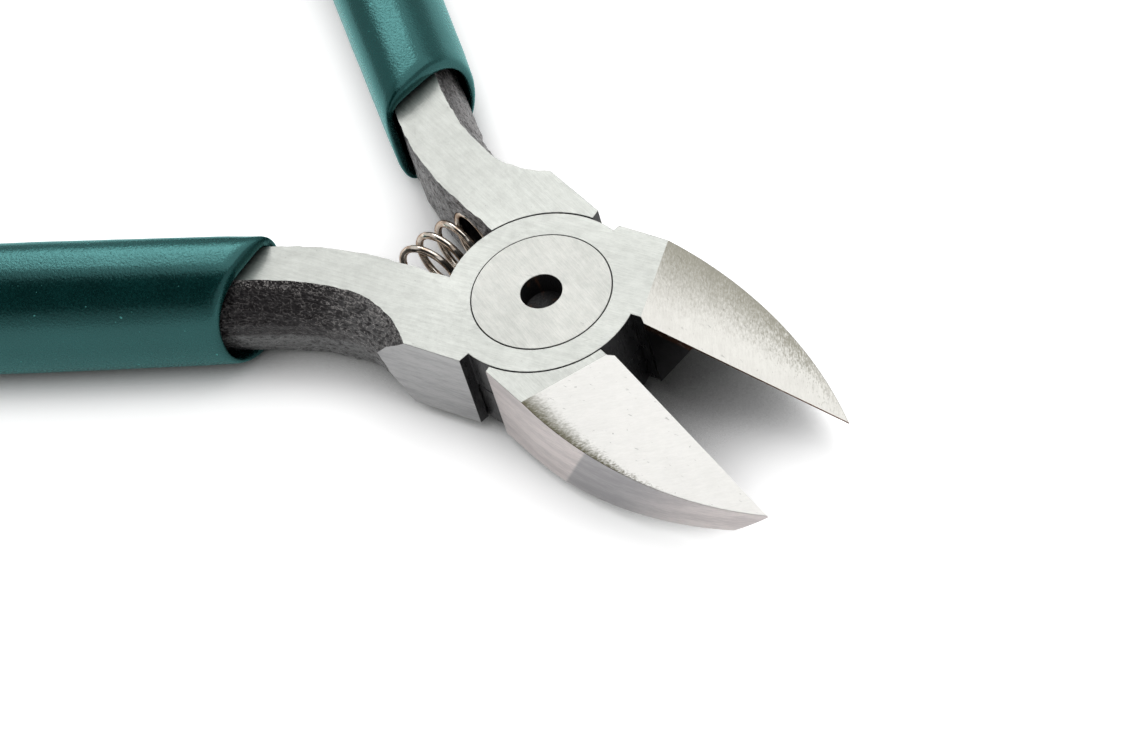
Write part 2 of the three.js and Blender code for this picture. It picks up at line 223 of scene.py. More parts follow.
class Nodes:
    """A node tree under construction, with short ways to add nodes."""

    def __init__(self, tree: bpy.types.NodeTree) -> None:
        """Takes the tree to build in."""
        self.tree = tree

    def node(self, kind: str, **settings: object) -> bpy.types.ShaderNode:
        """Adds a node.

        Args:
            kind: Blender's name for the kind of node.
            settings: attributes to set on it.

        Returns:
            The node.
        """
        added = self.tree.nodes.new(kind)
        for name, value in settings.items():
            setattr(added, name, value)
        return added

    def feed(self, socket: Socket, value: object) -> None:
        """Links an input to an output, or sets its value.

        Args:
            socket: the input.
            value: the output of another node, or a constant.
        """
        if isinstance(value, Socket):
            self.tree.links.new(value, socket)
        else:
            socket.default_value = value

    def add(
        self, kind: str, values: dict[str | int, object], output: str | int, **settings: object
    ) -> Socket:
        """Adds a node and feeds its inputs.

        Args:
            kind: Blender's name for the kind of node.
            values: what each input gets, by its name or number.
            output: name or number of the output that is wanted.
            settings: attributes to set on the node.

        Returns:
            That output.
        """
        added = self.node(kind, **settings)
        for name, value in values.items():
            self.feed(added.inputs[name], value)
        return added.outputs[output]

    def vector(self, operation: str, first: object, second: object) -> Socket:
        """Adds a vector operation and gives its vector output."""
        return self.add("ShaderNodeVectorMath", {0: first, 1: second}, "Vector", operation=operation)

    def length(self, vector: Socket) -> Socket:
        """Gives the length of a vector."""
        return self.add("ShaderNodeVectorMath", {0: vector}, "Value", operation="LENGTH")

    def axis(self, vector: Socket, name: str) -> Socket:
        """Gives one coordinate of a vector."""
        return self.add("ShaderNodeSeparateXYZ", {0: vector}, name)

    def math(self, operation: str, first: object, second: object = 0.0) -> Socket:
        """Adds a number operation and gives its output."""
        return self.add("ShaderNodeMath", {0: first, 1: second}, 0, operation=operation)

    def weighed(self, first: Socket, second: Socket, share: float) -> Socket:
        """Adds up two values, the second one by a share and the first one by the rest."""
        kept = self.math("MULTIPLY", first, 1.0 - share)
        return self.math("ADD", kept, self.math("MULTIPLY", second, share))

    def span(self, value: Socket, source: Range, target: Range = (0.0, 1.0)) -> Socket:
        """Maps a range of a value smoothly onto another range.

        Args:
            value: the output to map.
            source: values that map to the two ends of the target.
            target: results at these values and past them.

        Returns:
            The mapped output.
        """
        values = {
            "Value": value,
            "From Min": source[0],
            "From Max": source[1],
            "To Min": target[0],
            "To Max": target[1],
        }
        return self.add("ShaderNodeMapRange", values, 0, interpolation_type="SMOOTHSTEP")

    def noise(self, place: Socket, grain: Grain) -> Socket:
        """Adds the noise of a grain.

        Args:
            place: where on the surface, in millimetres.
            grain: the grain.

        Returns:
            The noise from 0 to 1.
        """
        scaled = self.vector("MULTIPLY", place, Vector(grain.scale))
        values = {"Vector": scaled, "Scale": 1.0, "Detail": grain.detail, "Roughness": grain.rough}
        return self.add("ShaderNodeTexNoise", values, "Fac")

    def shown(self, place: Socket, grain: Grain) -> Socket:
        """Gives how much of a grain shows at a place, from nothing to its share."""
        return self.span(self.noise(place, grain), grain.shown, (0.0, grain.share))

    def turned(self, place: Socket, degrees: float) -> Socket:
        """Turns places about Z, so that X lies along a direction that many degrees from it."""
        values = {"Vector": place, "Angle": -math.radians(degrees)}
        return self.add("ShaderNodeVectorRotate", values, "Vector", rotation_type="Z_AXIS")

    def mix(self, share: object, first: object, second: object) -> Socket:
        """Mixes two colours, the second one by the share."""
        values = {"Factor": share, "A": first, "B": second}
        return self.add("ShaderNodeMix", values, "Result", data_type="RGBA")


class Finish(Nodes):
    """A procedural material under construction, with its shader."""

    def __init__(self, name: str) -> None:
        """Makes an empty material with a principled shader.

        Args:
            name: name of the material.
        """
        self.material = bpy.data.materials.new(name)
        self.material.use_nodes = True
        super().__init__(self.material.node_tree)
        self.shader = self.tree.nodes["Principled BSDF"]

    def set(self, **sockets: object) -> None:
        """Feeds sockets of the shader, whose names are given with _ for each space."""
        for name, value in sockets.items():
            self.feed(self.shader.inputs[name.replace("_", " ")], value)

    def place(self, half: HalfFrame | None = None) -> Socket:
        """Gives the surface's place in millimetres.

        Args:
            half: the half whose own frame is used, or nothing for the row's frame.

        Returns:
            The output that holds the place.
        """
        place = self.node("ShaderNodeTexCoord").outputs["Object"]
        scale = Vector((1 / MM, 1 / MM, 1 / MM))
        if half is not None:
            place = self.turned(place, half.turn)
            scale.y *= half.mirror
        return self.vector("MULTIPLY", place, scale)

    def bump(self, height: Socket, depth: float) -> None:
        """Roughens the surface by a height from 0 to 1, which is as deep as given in millimetres."""
        values = {"Height": height, "Strength": 1.0, "Distance": depth * MM}
        self.set(Normal=self.add("ShaderNodeBump", values, "Normal"))


# Finishes


@dataclass(frozen=True)
class GroundSteel:
    """Steel ground flat, with fine lines along one direction and a few stray scratches.

    Attributes:
        name: name of the material.
        half: frame that the lines follow, or nothing for the row's frame.
        lines: degrees of the lines from the frame's X axis.
        pale: colour of the bright lines.
        dull: colour of the darker lines.
        mark: colour of the scratches and small dents.
        mark_share: how much of that colour shows.
        mark_depth: depth of the marks as a share of the lines' depth.
        crossing: degrees between the lines and the scratches.
        neck: share of the brightness that the painted shade leaves on the neck.
        neck_shade_ends: x where it is left, and where the steel has its full brightness.
        rough: least and greatest roughness.
        depth: depth of the lines.
        fine: the fine lines.
        broad: the broader lines.
        clouds: wide changes of tone.
        mottle: small changes of tone.
        scratches: stray scratches across the lines.
        dents: small dents.
    """

    name: str
    half: HalfFrame | None
    lines: float
    pale: Colour = (0.55, 0.565, 0.535, 1.0)
    dull: Colour = (0.34, 0.35, 0.33, 1.0)
    mark: Colour = (0.24, 0.24, 0.225, 1.0)
    mark_share: float = 0.45
    mark_depth: float = 0.6
    crossing: float = 34.0
    neck: float = 0.85
    neck_shade_ends: Range = (-15.0, -7.0)
    rough: Range = (0.37, 0.51)
    depth: float = 0.002
    fine: Grain = Grain((1.4, 11.0, 11.0), 3.0, 0.65, share=0.42)
    broad: Grain = Grain((0.35, 4.5, 4.5), share=0.2)
    clouds: Grain = Grain((0.14, 0.14, 0.14), share=0.18)
    mottle: Grain = Grain((1.3, 1.3, 1.3), 3.0, 0.7, share=0.2)
    scratches: Grain = Grain((0.25, 5.5, 5.5), shown=(0.70, 0.75))
    dents: Grain = Grain((2.2, 2.2, 2.2), shown=(0.73, 0.78))

    def start(self) -> tuple[Finish, Socket, Socket]:
        """Makes the steel with its lines.

        Returns:
            The finish, the place on the surface in millimetres, and the colour output.
        """
        finish = Finish(self.name)
        place = finish.place(self.half)
        along = finish.turned(place, self.lines)
        tone = finish.shown(along, self.fine)
        for where, grain in ((along, self.broad), (place, self.clouds), (place, self.mottle)):
            tone = finish.math("ADD", tone, finish.shown(where, grain))
        across = finish.turned(place, self.lines + self.crossing)
        scratches = finish.shown(across, self.scratches)
        marks = finish.math("MAXIMUM", scratches, finish.shown(place, self.dents))
        colour = finish.mix(tone, self.dull, self.pale)
        colour = finish.mix(finish.math("MULTIPLY", marks, self.mark_share), colour, self.mark)
        # Painted shade: the ground faces darken towards the neck.
        brightness = finish.span(finish.axis(place, "X"), self.neck_shade_ends, (self.neck, 1.0))
        colour = finish.vector("MULTIPLY", colour, brightness)
        fine = finish.noise(along, self.fine)
        finish.set(Metallic=1.0, Roughness=finish.span(fine, ALL_NOISE, self.rough))
        sunk = finish.math("MULTIPLY", marks, self.mark_depth)
        finish.bump(finish.math("SUBTRACT", fine, sunk), self.depth)
        return finish, place, colour

    def make(self) -> bpy.types.Material:
        """Makes the material.

        Returns:
            The material.
        """
        finish, _, colour = self.start()
        finish.set(Base_Color=colour)
        return finish.material


@dataclass(frozen=True)
class BevelSteel(GroundSteel):
    """The jaw's slanted face, ground across, with a painted shade that darkens it towards its outer edge,
    for the dark reflection there.

    Attributes:
        arc_centre: x and y of the centre of the jaw's outer arc, in the half's frame.
        arc_radius: radius of that arc.
        fade: width of the painted shade strip along the outer edge, where it starts.
        fade_end: x where that strip has run out.
        thinnest: width of the strip there.
        ending: share of that x from which the strip gets weaker.
        painted_edge_shade: colour of the painted shade strip.
        tone: how much of that colour shows at the edge.
        tone_ends: shares of the strip's width between which the colour gives way to bare steel.
        speckle: the strip's ragged border.
    """

    arc_centre: Range = (6.0, -21.0)
    arc_radius: float = 29.0
    fade: float = 5.0
    fade_end: float = 25.0
    thinnest: float = 0.12
    ending: float = 0.7
    painted_edge_shade: Colour = (0.11, 0.10, 0.052, 1.0)
    tone: float = 0.6
    tone_ends: Range = (-0.1, 1.0)
    speckle: Grain = Grain((3.0, 8.0, 8.0), 3.0, 0.75)

    def make(self) -> bpy.types.Material:
        """Makes the material.

        Returns:
            The material.
        """
        finish, place, colour = self.start()
        x = finish.axis(place, "X")
        # Painted shade: a dark strip with a ragged border along the outer arc, for the dark reflection of
        # that edge.
        flat = finish.vector("MULTIPLY", place, Vector((1.0, 1.0, 0.0)))
        from_centre = finish.vector("SUBTRACT", flat, Vector((*self.arc_centre, 0.0)))
        inwards = finish.math("SUBTRACT", self.arc_radius, finish.length(from_centre))
        speckle = finish.noise(finish.turned(place, self.lines), self.speckle)
        wander = finish.math("MULTIPLY", finish.math("SUBTRACT", speckle, MEAN_NOISE), self.fade)
        width = finish.span(x, (self.arc_centre[0], self.fade_end), (self.fade, self.thinnest))
        reach = finish.math("DIVIDE", finish.math("ADD", inwards, wander), width)
        tone = finish.span(reach, self.tone_ends, (self.tone, 0.0))
        ending = finish.span(x, (self.ending * self.fade_end, self.fade_end), (1.0, 0.0))
        finish.set(Base_Color=finish.mix(finish.math("MULTIPLY", tone, ending), colour, self.painted_edge_shade))
        return finish.material


@dataclass(frozen=True)
class SideSteel:
    """The ground sides of jaw and shoulder, with lines along their length and a painted shade where a
    second facet starts.

    Attributes:
        name: name of the material.
        half: frame of the half.
        pale: colour of the bright lines.
        dull: colour of the darker lines.
        contrast: tones that have the dull colour and the pale one.
        rough: least and greatest roughness.
        depth: depth of the lines.
        facet: x where the painted shade of a second ground facet starts at the underside.
        facet_lean: how much further along it starts for each millimetre of height.
        facet_edge: width of the border where it starts.
        facet_fade: distances from its start between which it lightens.
        facet_shares: how much of its shade shows at these distances.
        facet_painted_shade: share of each colour that the painted shade leaves where it starts.
        fine: the fine lines.
        bands: broad bands of tone.
        bands_share: share of the bands in the tone.
    """

    name: str
    half: HalfFrame
    pale: Colour
    dull: Colour
    contrast: Range = (0.40, 0.60)
    rough: Range = (0.36, 0.52)
    depth: float = 0.002
    facet: float = 9.7
    facet_lean: float = 0.54
    facet_edge: float = 0.35
    facet_fade: Range = (4.0, 12.0)
    facet_shares: Range = (0.85, 0.15)
    facet_painted_shade: Triple = (0.54, 0.58, 0.61)
    fine: Grain = Grain((0.9, 0.9, 7.5), 4.0, 0.75)
    bands: Grain = Grain((0.1, 0.1, 0.9))
    bands_share: float = 0.4

    def make(self) -> bpy.types.Material:
        """Makes the material.

        Returns:
            The material.
        """
        finish = Finish(self.name)
        place = finish.place(self.half)
        fine = finish.noise(place, self.fine)
        tone = finish.weighed(fine, finish.noise(place, self.bands), self.bands_share)
        colour = finish.mix(finish.span(tone, self.contrast), self.dull, self.pale)
        # Painted shade of the second facet, which starts along a slanted line and lightens along the jaw.
        lean = finish.math("MULTIPLY", finish.axis(place, "Z"), self.facet_lean)
        x = finish.math("SUBTRACT", finish.axis(place, "X"), lean)
        onset = finish.span(x, (self.facet, self.facet + self.facet_edge))
        near, far = self.facet_fade
        faded = finish.span(x, (self.facet + near, self.facet + far), self.facet_shares)
        shaded = finish.vector("MULTIPLY", colour, Vector(self.facet_painted_shade))
        colour = finish.mix(finish.math("MULTIPLY", onset, faded), colour, shaded)
        finish.set(Metallic=1.0, Base_Color=colour, Roughness=finish.span(fine, ALL_NOISE, self.rough))
        finish.bump(fine, self.depth)
        return finish.material


@dataclass(frozen=True)
class ForgedScale:
    """Black forging scale: rough, pitted and a little shiny on its crests, with painted highlights on the
    crests, wrinkles and dots.

    Attributes:
        name: name of the material.
        half: frame of the half.
        dark: colour of the scale.
        grey: lighter colour of the scale, at the neck's bend and lower down.
        wear_and_glint: colour of the crests, a painted highlight, which also colours the wrinkles and the
            bright dots.
        low: colour below the ridge.
        fall: how much the scale turns lighter downwards.
        pit: colour of the pits.
        bend: x between which the scale turns lighter towards the neck's bend.
        lightening: heights between which it turns lighter downwards.
        wrinkled: x between which the painted highlights of its wrinkles come up.
        wrinkle_shares: how much of them shows at these places.
        crease: distance of the noise from its mean that is within a wrinkle.
        border: heights between which bright dots of painted highlight come up below the ground face.
        border_share: how much of these dots shows.
        ridge: heights between which the colour below the ridge comes up.
        ridge_wander: how much the pits move these heights.
        rough: roughness of the pits and of the crests.
        relief: depth of the lumps.
        pit_relief: depth of the pits as a share of the lumps'.
        lumps: the uneven forging.
        pits: pits in the scale.
        mottle: darker patches.
        creases: fine wrinkles, drawn as lines of painted highlight.
        dots: bright dots of painted highlight.
    """

    name: str
    half: HalfFrame
    dark: Colour
    grey: Colour
    wear_and_glint: Colour
    low: Colour
    fall: float
    pit: Colour = (0.012, 0.010, 0.011, 1.0)
    bend: Range = (-18.0, -11.5)
    lightening: Range = (8.0, 5.8)
    wrinkled: Range = (-21.0, -13.0)
    wrinkle_shares: Range = (0.2, 0.6)
    crease: float = 0.045
    border: Range = (7.85, 8.4)
    border_share: float = 0.65
    ridge: Range = (4.55, 4.0)
    ridge_wander: float = 0.7
    rough: Range = (0.44, 0.24)
    relief: float = 0.42
    pit_relief: float = 0.6
    lumps: Grain = Grain((0.8, 1.5, 1.5))
    pits: Grain = Grain((1.7, 3.4, 3.4), 3.0, 0.55, shown=(0.48, 0.36), share=0.85)
    mottle: Grain = Grain((1.9, 1.9, 1.9), shown=(0.44, 0.34), share=0.6)
    creases: Grain = Grain((1.5, 3.0, 3.6))
    dots: Grain = Grain((6.5, 6.5, 6.5), shown=(0.54, 0.59))

    def make(self) -> bpy.types.Material:
        """Makes the material.

        Returns:
            The material.
        """
        finish = Finish(self.name)
        place = finish.place(self.half)
        x, height = finish.axis(place, "X"), finish.axis(place, "Z")
        lumps, pits = finish.noise(place, self.lumps), finish.noise(place, self.pits)
        # The scale turns lighter towards the neck's bend and lower down.
        mottled = finish.math("ADD", height, finish.noise(place, self.mottle))
        down = finish.span(mottled, self.lightening, (0.0, self.fall))
        toned = finish.math("MAXIMUM", finish.span(x, self.bend), down)
        colour = finish.mix(toned, self.dark, self.grey)
        # Painted highlights: the wrinkles and the dots along the top border take the crests' bright colour.
        off_mean = finish.math("SUBTRACT", finish.noise(place, self.creases), MEAN_NOISE)
        wrinkles = finish.span(finish.math("ABSOLUTE", off_mean), (self.crease, 0.0))
        wrinkled = finish.span(x, self.wrinkled, self.wrinkle_shares)
        colour = finish.mix(finish.math("MULTIPLY", wrinkles, wrinkled), colour, self.wear_and_glint)
        border = finish.span(finish.math("ADD", height, lumps), self.border, (0.0, self.border_share))
        dots = finish.math("MULTIPLY", finish.shown(place, self.dots), border)
        colour = finish.mix(dots, colour, self.wear_and_glint)
        wander = finish.math("ADD", height, finish.math("MULTIPLY", pits, self.ridge_wander))
        colour = finish.mix(finish.span(wander, self.ridge), colour, self.low)
        colour = finish.mix(finish.shown(place, self.mottle), colour, self.pit)
        colour = finish.mix(finish.shown(place, self.pits), colour, self.pit)
        finish.set(
            Base_Color=colour,
            Metallic=0.3,
            Roughness=finish.span(pits, MOST_NOISE, self.rough),
            Specular_IOR_Level=0.35,
        )
        finish.bump(finish.math("ADD", lumps, finish.math("MULTIPLY", pits, self.pit_relief)), self.relief)
        return finish.material


@dataclass(frozen=True)
class BlackenedSteel:
    """Milled steel left black, as in the notches and round the joint.

    Attributes:
        name: name of the material.
        colour: colour of the surface.
        glint: colour of the patches that paint glints and wear on the black.
        rough: least and greatest roughness.
        depth: depth of the milling marks.
        wear_and_glint: the patches of painted glint and wear.
        marks: the milling marks.
    """

    name: str
    colour: Colour = (0.018, 0.018, 0.019, 1.0)
    glint: Colour = (0.06, 0.058, 0.058, 1.0)
    rough: Range = (0.26, 0.42)
    depth: float = 0.02
    wear_and_glint: Grain = Grain((1.6, 1.6, 0.5), 4.0, 0.7, shown=(0.52, 0.75))
    marks: Grain = Grain((6.0, 6.0, 1.2))

    def make(self) -> bpy.types.Material:
        """Makes the material.

        Returns:
            The material.
        """
        finish = Finish(self.name)
        place = finish.place()
        marks = finish.noise(place, self.marks)
        # Painted glints and wear: lighter patches on the black.
        finish.set(
            Base_Color=finish.mix(finish.shown(place, self.wear_and_glint), self.colour, self.glint),
            Metallic=0.4,
            Roughness=finish.span(marks, MOST_NOISE, self.rough),
        )
        finish.bump(marks, self.depth)
        return finish.material


@dataclass(frozen=True)
class EdgeSteel:
    """The narrow land along the cutting edge, brown from hardening, and the black throat below it.

    Attributes:
        name: name of the material.
        half: frame of the half.
        slope: fall of the edge for each millimetre along the jaw.
        start: x where the edge starts to fall from the joint's top.
        top: height of the joint's top.
        land: distances below the edge at which the black ends and the brown is full.
        brown: colour of the hardened steel.
        bare: colour where it is rubbed bright.
        black: colour below the land.
        rough: roughness of the brown steel and of the bare steel.
        wear_and_glint: the places rubbed bright.
    """

    name: str
    half: HalfFrame
    slope: float = 0.3
    start: float = 8.5
    top: float = 8.0
    land: Range = (0.9, 0.5)
    brown: Colour = (0.16, 0.075, 0.045, 1.0)
    bare: Colour = (0.5, 0.42, 0.36, 1.0)
    black: Colour = (0.07, 0.07, 0.073, 1.0)
    rough: Range = (0.5, 0.35)
    wear_and_glint: Grain = Grain((1.1, 1.1, 1.1), 3.0, 0.7, shown=(0.5, 0.72))

    def make(self) -> bpy.types.Material:
        """Makes the material.

        Returns:
            The material.
        """
        finish = Finish(self.name)
        place = finish.place(self.half)
        land = finish.mix(finish.shown(place, self.wear_and_glint), self.brown, self.bare)
        fall = finish.math("MULTIPLY", finish.axis(place, "X"), self.slope)
        height = finish.math("ADD", finish.axis(place, "Z"), fall)
        edge = self.top + self.start * self.slope
        on_land = finish.span(height, (edge - self.land[0], edge - self.land[1]))
        finish.set(
            Base_Color=finish.mix(on_land, self.black, land),
            Metallic=1.0,
            Roughness=finish.span(finish.noise(place, self.wear_and_glint), MOST_NOISE, self.rough),
        )
        return finish.material


@dataclass(frozen=True)
class SpringWire:
    """Bright plated wire with faint drawing lines and a warm cast.

    Attributes:
        name: name of the material.
        bright: colour of the plating.
        warm: colour where the plating is thinner.
        edge: colour that it takes on at a slant.
        rough: least and greatest roughness.
        toned: the places where the plating is thinner.
    """

    name: str
    bright: Colour = (0.90, 0.83, 0.74, 1.0)
    warm: Colour = (0.58, 0.45, 0.35, 1.0)
    edge: Colour = (0.30, 0.19, 0.13, 1.0)
    rough: Range = (0.08, 0.16)
    toned: Grain = Grain((1.3, 1.3, 1.3), 3.0, shown=(0.45, 0.7))

    def make(self) -> bpy.types.Material:
        """Makes the material.

        Returns:
            The material.
        """
        finish = Finish(self.name)
        place = finish.place()
        finish.set(
            Base_Color=finish.mix(finish.shown(place, self.toned), self.bright, self.warm),
            Metallic=1.0,
            Roughness=finish.span(finish.noise(place, self.toned), MOST_NOISE, self.rough),
            Specular_Tint=self.edge,
        )
        return finish.material


@dataclass(frozen=True)
class DippedVinyl:
    """Satin dipped vinyl with a fine pebbled skin.

    Attributes:
        name: name of the material.
        deep: main colour.
        light: colour of the pebbles' tops.
        dust: colour of the few specks of dust.
        sheen: colour of the skin's reflections.
        coat: colour of the thin clear film on the skin.
        rough: roughness of the pebbles' feet and tops.
        depth: depth of the pebbles.
        pebbles: the pebbles.
        clouds: wide changes of tone.
        clouds_share: share of these in the tone.
        specks: the specks of dust.
    """

    name: str
    deep: Colour = (0.0, 0.010, 0.0095, 1.0)
    light: Colour = (0.0, 0.019, 0.018, 1.0)
    dust: Colour = (0.10, 0.22, 0.21, 1.0)
    sheen: Colour = (0.62, 1.0, 1.0, 1.0)
    coat: Colour = (0.6, 0.98, 0.97, 1.0)
    rough: Range = (0.22, 0.29)
    depth: float = 0.02
    pebbles: Grain = Grain((5.0, 5.0, 5.0), 2.0, 0.55)
    clouds: Grain = Grain((0.22, 0.22, 0.22))
    clouds_share: float = 0.5
    specks: Grain = Grain((2.4, 2.4, 2.4), 1.0, shown=(0.77, 0.80))

    def make(self) -> bpy.types.Material:
        """Makes the material.

        Returns:
            The material.
        """
        finish = Finish(self.name)
        place = finish.place()
        pebbles = finish.noise(place, self.pebbles)
        tone = finish.weighed(pebbles, finish.noise(place, self.clouds), self.clouds_share)
        colour = finish.mix(finish.span(tone, self.pebbles.shown), self.deep, self.light)
        finish.set(
            Base_Color=finish.mix(finish.shown(place, self.specks), colour, self.dust),
            Roughness=finish.span(pebbles, MOST_NOISE, self.rough),
            IOR=1.55,
            Specular_IOR_Level=0.8,
            Specular_Tint=self.sheen,
            Coat_Weight=1.0,
            Coat_IOR=1.08,
            Coat_Roughness=0.3,
            Coat_Tint=self.coat,
        )
        finish.bump(pebbles, self.depth)
        return finish.material


# Meshes


def mesh_piece(name: str, bm: bmesh.types.BMesh, materials: list[bpy.types.Material]) -> bpy.types.Object:
    """Turns a finished bmesh into an object of the scene.

    Args:
        name: name of the piece.
        bm: its mesh, in metres, which is used up.
        materials: its material slots.

    Returns:
        The object.
    """
    mesh = bpy.data.meshes.new(name)
    bm.to_mesh(mesh)
    bm.free()
    for material in materials:
        mesh.materials.append(material)
    piece = bpy.data.objects.new(name, mesh)
    bpy.context.scene.collection.objects.link(piece)
    return piece


def skin(rings: list[list[Vector]]) -> bmesh.types.BMesh:
    """Skins a closed surface over rings of equally many points.

    Args:
        rings: the rings, in order.

    Returns:
        The mesh, with its faces pointing out.
    """
    bm = bmesh.new()
    rows = [[bm.verts.new(point) for point in ring] for ring in rings]
    count = len(rows[0])
    for row, following in zip(rows, rows[1:]):
        for i in range(count):
            j = (i + 1) % count
            bm.faces.new((row[i], row[j], following[j], following[i]))
    bm.faces.new(rows[0])
    bm.faces.new(rows[-1])
    bmesh.ops.recalc_face_normals(bm, faces=bm.faces)
    for face in bm.faces:
        face.smooth = True
    return bm


def round_angles(count: int) -> list[float]:
    """Lists equally spaced angles round a circle, in radians."""
    return [2 * math.pi * i / count for i in range(count)]


def eased(share: float) -> float:
    """Keeps a share between 0 and 1 and gives it a soft start and end."""
    kept = min(max(share, 0.0), 1.0)
    return kept * kept * (3 - 2 * kept)


def unevenness(place: Vector, layers: tuple[Range, ...]) -> float:
    """Adds up layers of noise at a place, each with its waves per millimetre and its strength."""
    return sum(strength * noise.noise(place * waves) for waves, strength in layers)


# Sub-assemblies


@dataclass(frozen=True)
class ForgedHalf:
    """One forged half: jaw, lap, neck and tang.

    Attributes:
        half: its frame.
        node: the solid that it stands for.
        slot: the record's material slot, which is not used.
        piece_name: name of the piece.
        bevel_fade: width of the painted shade strip on the jaw's slanted face.
        bevel_end: x where that strip has run out.
        bevel_tone: how dark that strip is at the edge.
        pocket_shift: how far the spring's pocket lies off its mean place, along X and up.
        bevel_colours: pale and dull colour of the jaw's slanted face, set for each half as painted light.
        side_colours: pale and dull colour of the ground sides, set for each half as painted light.
        scale_colours: colours of the forging scale, of its lighter parts, of its crests and below its
            ridge.
        scale_fall: how much the scale turns lighter downwards.
        face_lines: degrees of the grinding lines on the flat faces.
        bevel_lines: degrees of the grinding lines on the jaw's slanted face.
        thickness: thickness of the joint.
        jaw_length: pivot axis to the tip.
        jaw_flat: pivot axis to the start of the jaw's outer arc.
        jaw_side: pivot axis to the start of the jaw's ground side.
        jaw_half_width: middle plane to the jaw's flat side.
        shoulder: middle plane to the ground side of the neck.
        underside: height below which level faces are ground.
        flank: middle plane to where forged flanks can begin.
        scale_start: pivot axis to where forged flanks can begin.
        scale_end: pivot axis to the end of the flanks that show, just inside the sleeve.
        pocket_reach: pivot axis to the middle of the spring's pocket.
        pocket_radius: radius of that pocket, with a margin.
        pocket_rim: middle plane to the open end of that pocket.
        lap_radius: radius of the lap's round wall.
        lap_growth: how much that wall is moved out, which leaves a fine seam.
        lap_near: how close to that radius a point belongs to the wall.
        lap_margin: how far past that radius upright walls are still black.
        near: how close to a surface a face belongs to it.
        level: upward part of the normal from which a face is level.
        slanted: upward part of the normal from which it can be the jaw's slanted face.
        upright: upward part of the normal below which a face stands upright.
        leaning: part of the normal in a direction from which a face leans that way.
        weld: distance within which points are joined.
        flat_angle: degrees within which faces are one flat face.
        hard_angle: degrees from which an edge is rounded.
        sharp_angle: degrees from which an edge is shaded sharply.
        edge_round: rounding of the ground edges.
        splits: how often the flanks' edges are halved at most.
        longest: longest edge of the triangles that carry the forged roughness.
        pit_depth: depth of the forged roughness.
        pit_layers: waves per millimetre and strength of each layer of that roughness.
    """

    half: HalfFrame
    node: str
    slot: str
    piece_name: str
    bevel_fade: float
    bevel_end: float
    bevel_tone: float
    pocket_shift: Range
    bevel_colours: tuple[Colour, Colour]
    side_colours: tuple[Colour, Colour]
    scale_colours: tuple[Colour, Colour, Colour, Colour]
    scale_fall: float
    face_lines: float = 2.0
    bevel_lines: float = -58.0
    thickness: float = 8.0
    jaw_length: float = 25.8
    jaw_flat: float = 6.0
    jaw_side: float = 2.0
    jaw_half_width: float = 7.85
    shoulder: float = 8.15
    underside: float = 1.5
    flank: float = 1.0
    scale_start: float = 7.0
    scale_end: float = 26.0
    pocket_reach: float = 12.24
    pocket_radius: float = 2.9
    pocket_rim: float = 1.2
    lap_radius: float = 7.65
    lap_growth: float = 0.07
    lap_near: float = 0.02
    lap_margin: float = 0.3
    near: float = 0.06
    level: float = 0.995
    slanted: float = 0.8
    upright: float = 0.05
    leaning: float = 0.3
    weld: float = 0.002
    flat_angle: float = 0.6
    hard_angle: float = 30.0
    sharp_angle: float = 12.0
    edge_round: float = 0.05
    splits: int = 5
    longest: float = 0.588
    pit_depth: float = 0.13
    pit_layers: tuple[Range, ...] = ((1.4, 1.0), (3.1, 0.6))

    def arc(self) -> tuple[Range, float]:
        """Works out the jaw's outer arc, which ends at the tip.

        Returns:
            The x and y of its centre, and its radius.
        """
        run = self.jaw_length - self.jaw_flat
        radius = (run**2 + self.jaw_half_width**2) / (2 * self.jaw_half_width)
        return (self.jaw_flat, self.jaw_half_width - radius), radius

    def zone(self, centre: Vector, normal: Vector) -> Zone:
        """Tells which finish a face has.

        Args:
            centre: middle of the face in the half's frame, in millimetres.
            normal: outward direction of the face in the half's frame.

        Returns:
            The face's zone.
        """
        (arc_x, arc_y), radius = self.arc()
        on_arc = centre.x > self.jaw_flat
        upright = abs(normal.z) < self.upright
        if normal.z > self.level and centre.z > self.thickness - self.near:
            return Zone.GROUND
        if normal.z < -self.level and centre.z < self.underside:
            return Zone.GROUND
        if self.slanted < normal.z <= self.level and on_arc:
            return Zone.BEVEL
        if upright and centre.y > 0 and centre.x > self.jaw_side:
            off_arc = abs(math.hypot(centre.x - arc_x, centre.y - arc_y) - radius)
            if min(off_arc, abs(centre.y - self.jaw_half_width)) < self.near:
                return Zone.SIDE
        if upright and abs(centre.y + self.shoulder) < self.near:
            return Zone.SIDE
        if upright and abs(centre.y) < self.near and centre.x > self.jaw_length / 2:
            return Zone.EDGE
        if normal.z < -self.leaning and on_arc:
            return Zone.SIDE
        if upright and math.hypot(centre.x, centre.y) < self.lap_radius + self.lap_margin:
            return Zone.BLACKENED
        outside_pocket = abs(normal.y) > self.leaning or centre.x < -self.scale_end
        if centre.x < -self.scale_start and centre.y < -self.flank and outside_pocket:
            return Zone.SCALE
        return Zone.BLACKENED

    def fit(self, vert: bmesh.types.BMVert) -> None:
        """Moves a point of the lap's wall out and a point of the spring's pocket to its place.

        Args:
            vert: the point, which stays if it is neither.
        """
        radius = math.hypot(vert.co.x, vert.co.y) / MM
        if abs(radius - self.lap_radius) < self.lap_near:
            grown = 1 + self.lap_growth / radius
            vert.co.x *= grown
            vert.co.y *= grown
        place = self.half.to_half(vert.co) / MM
        off_axis = math.hypot(place.x + self.pocket_reach, place.z - self.thickness / 2)
        if off_axis < self.pocket_radius and -self.shoulder / 2 < place.y < -self.pocket_rim:
            along, up = self.pocket_shift
            vert.co = self.half.to_row(place.x + along, place.y, place.z + up)

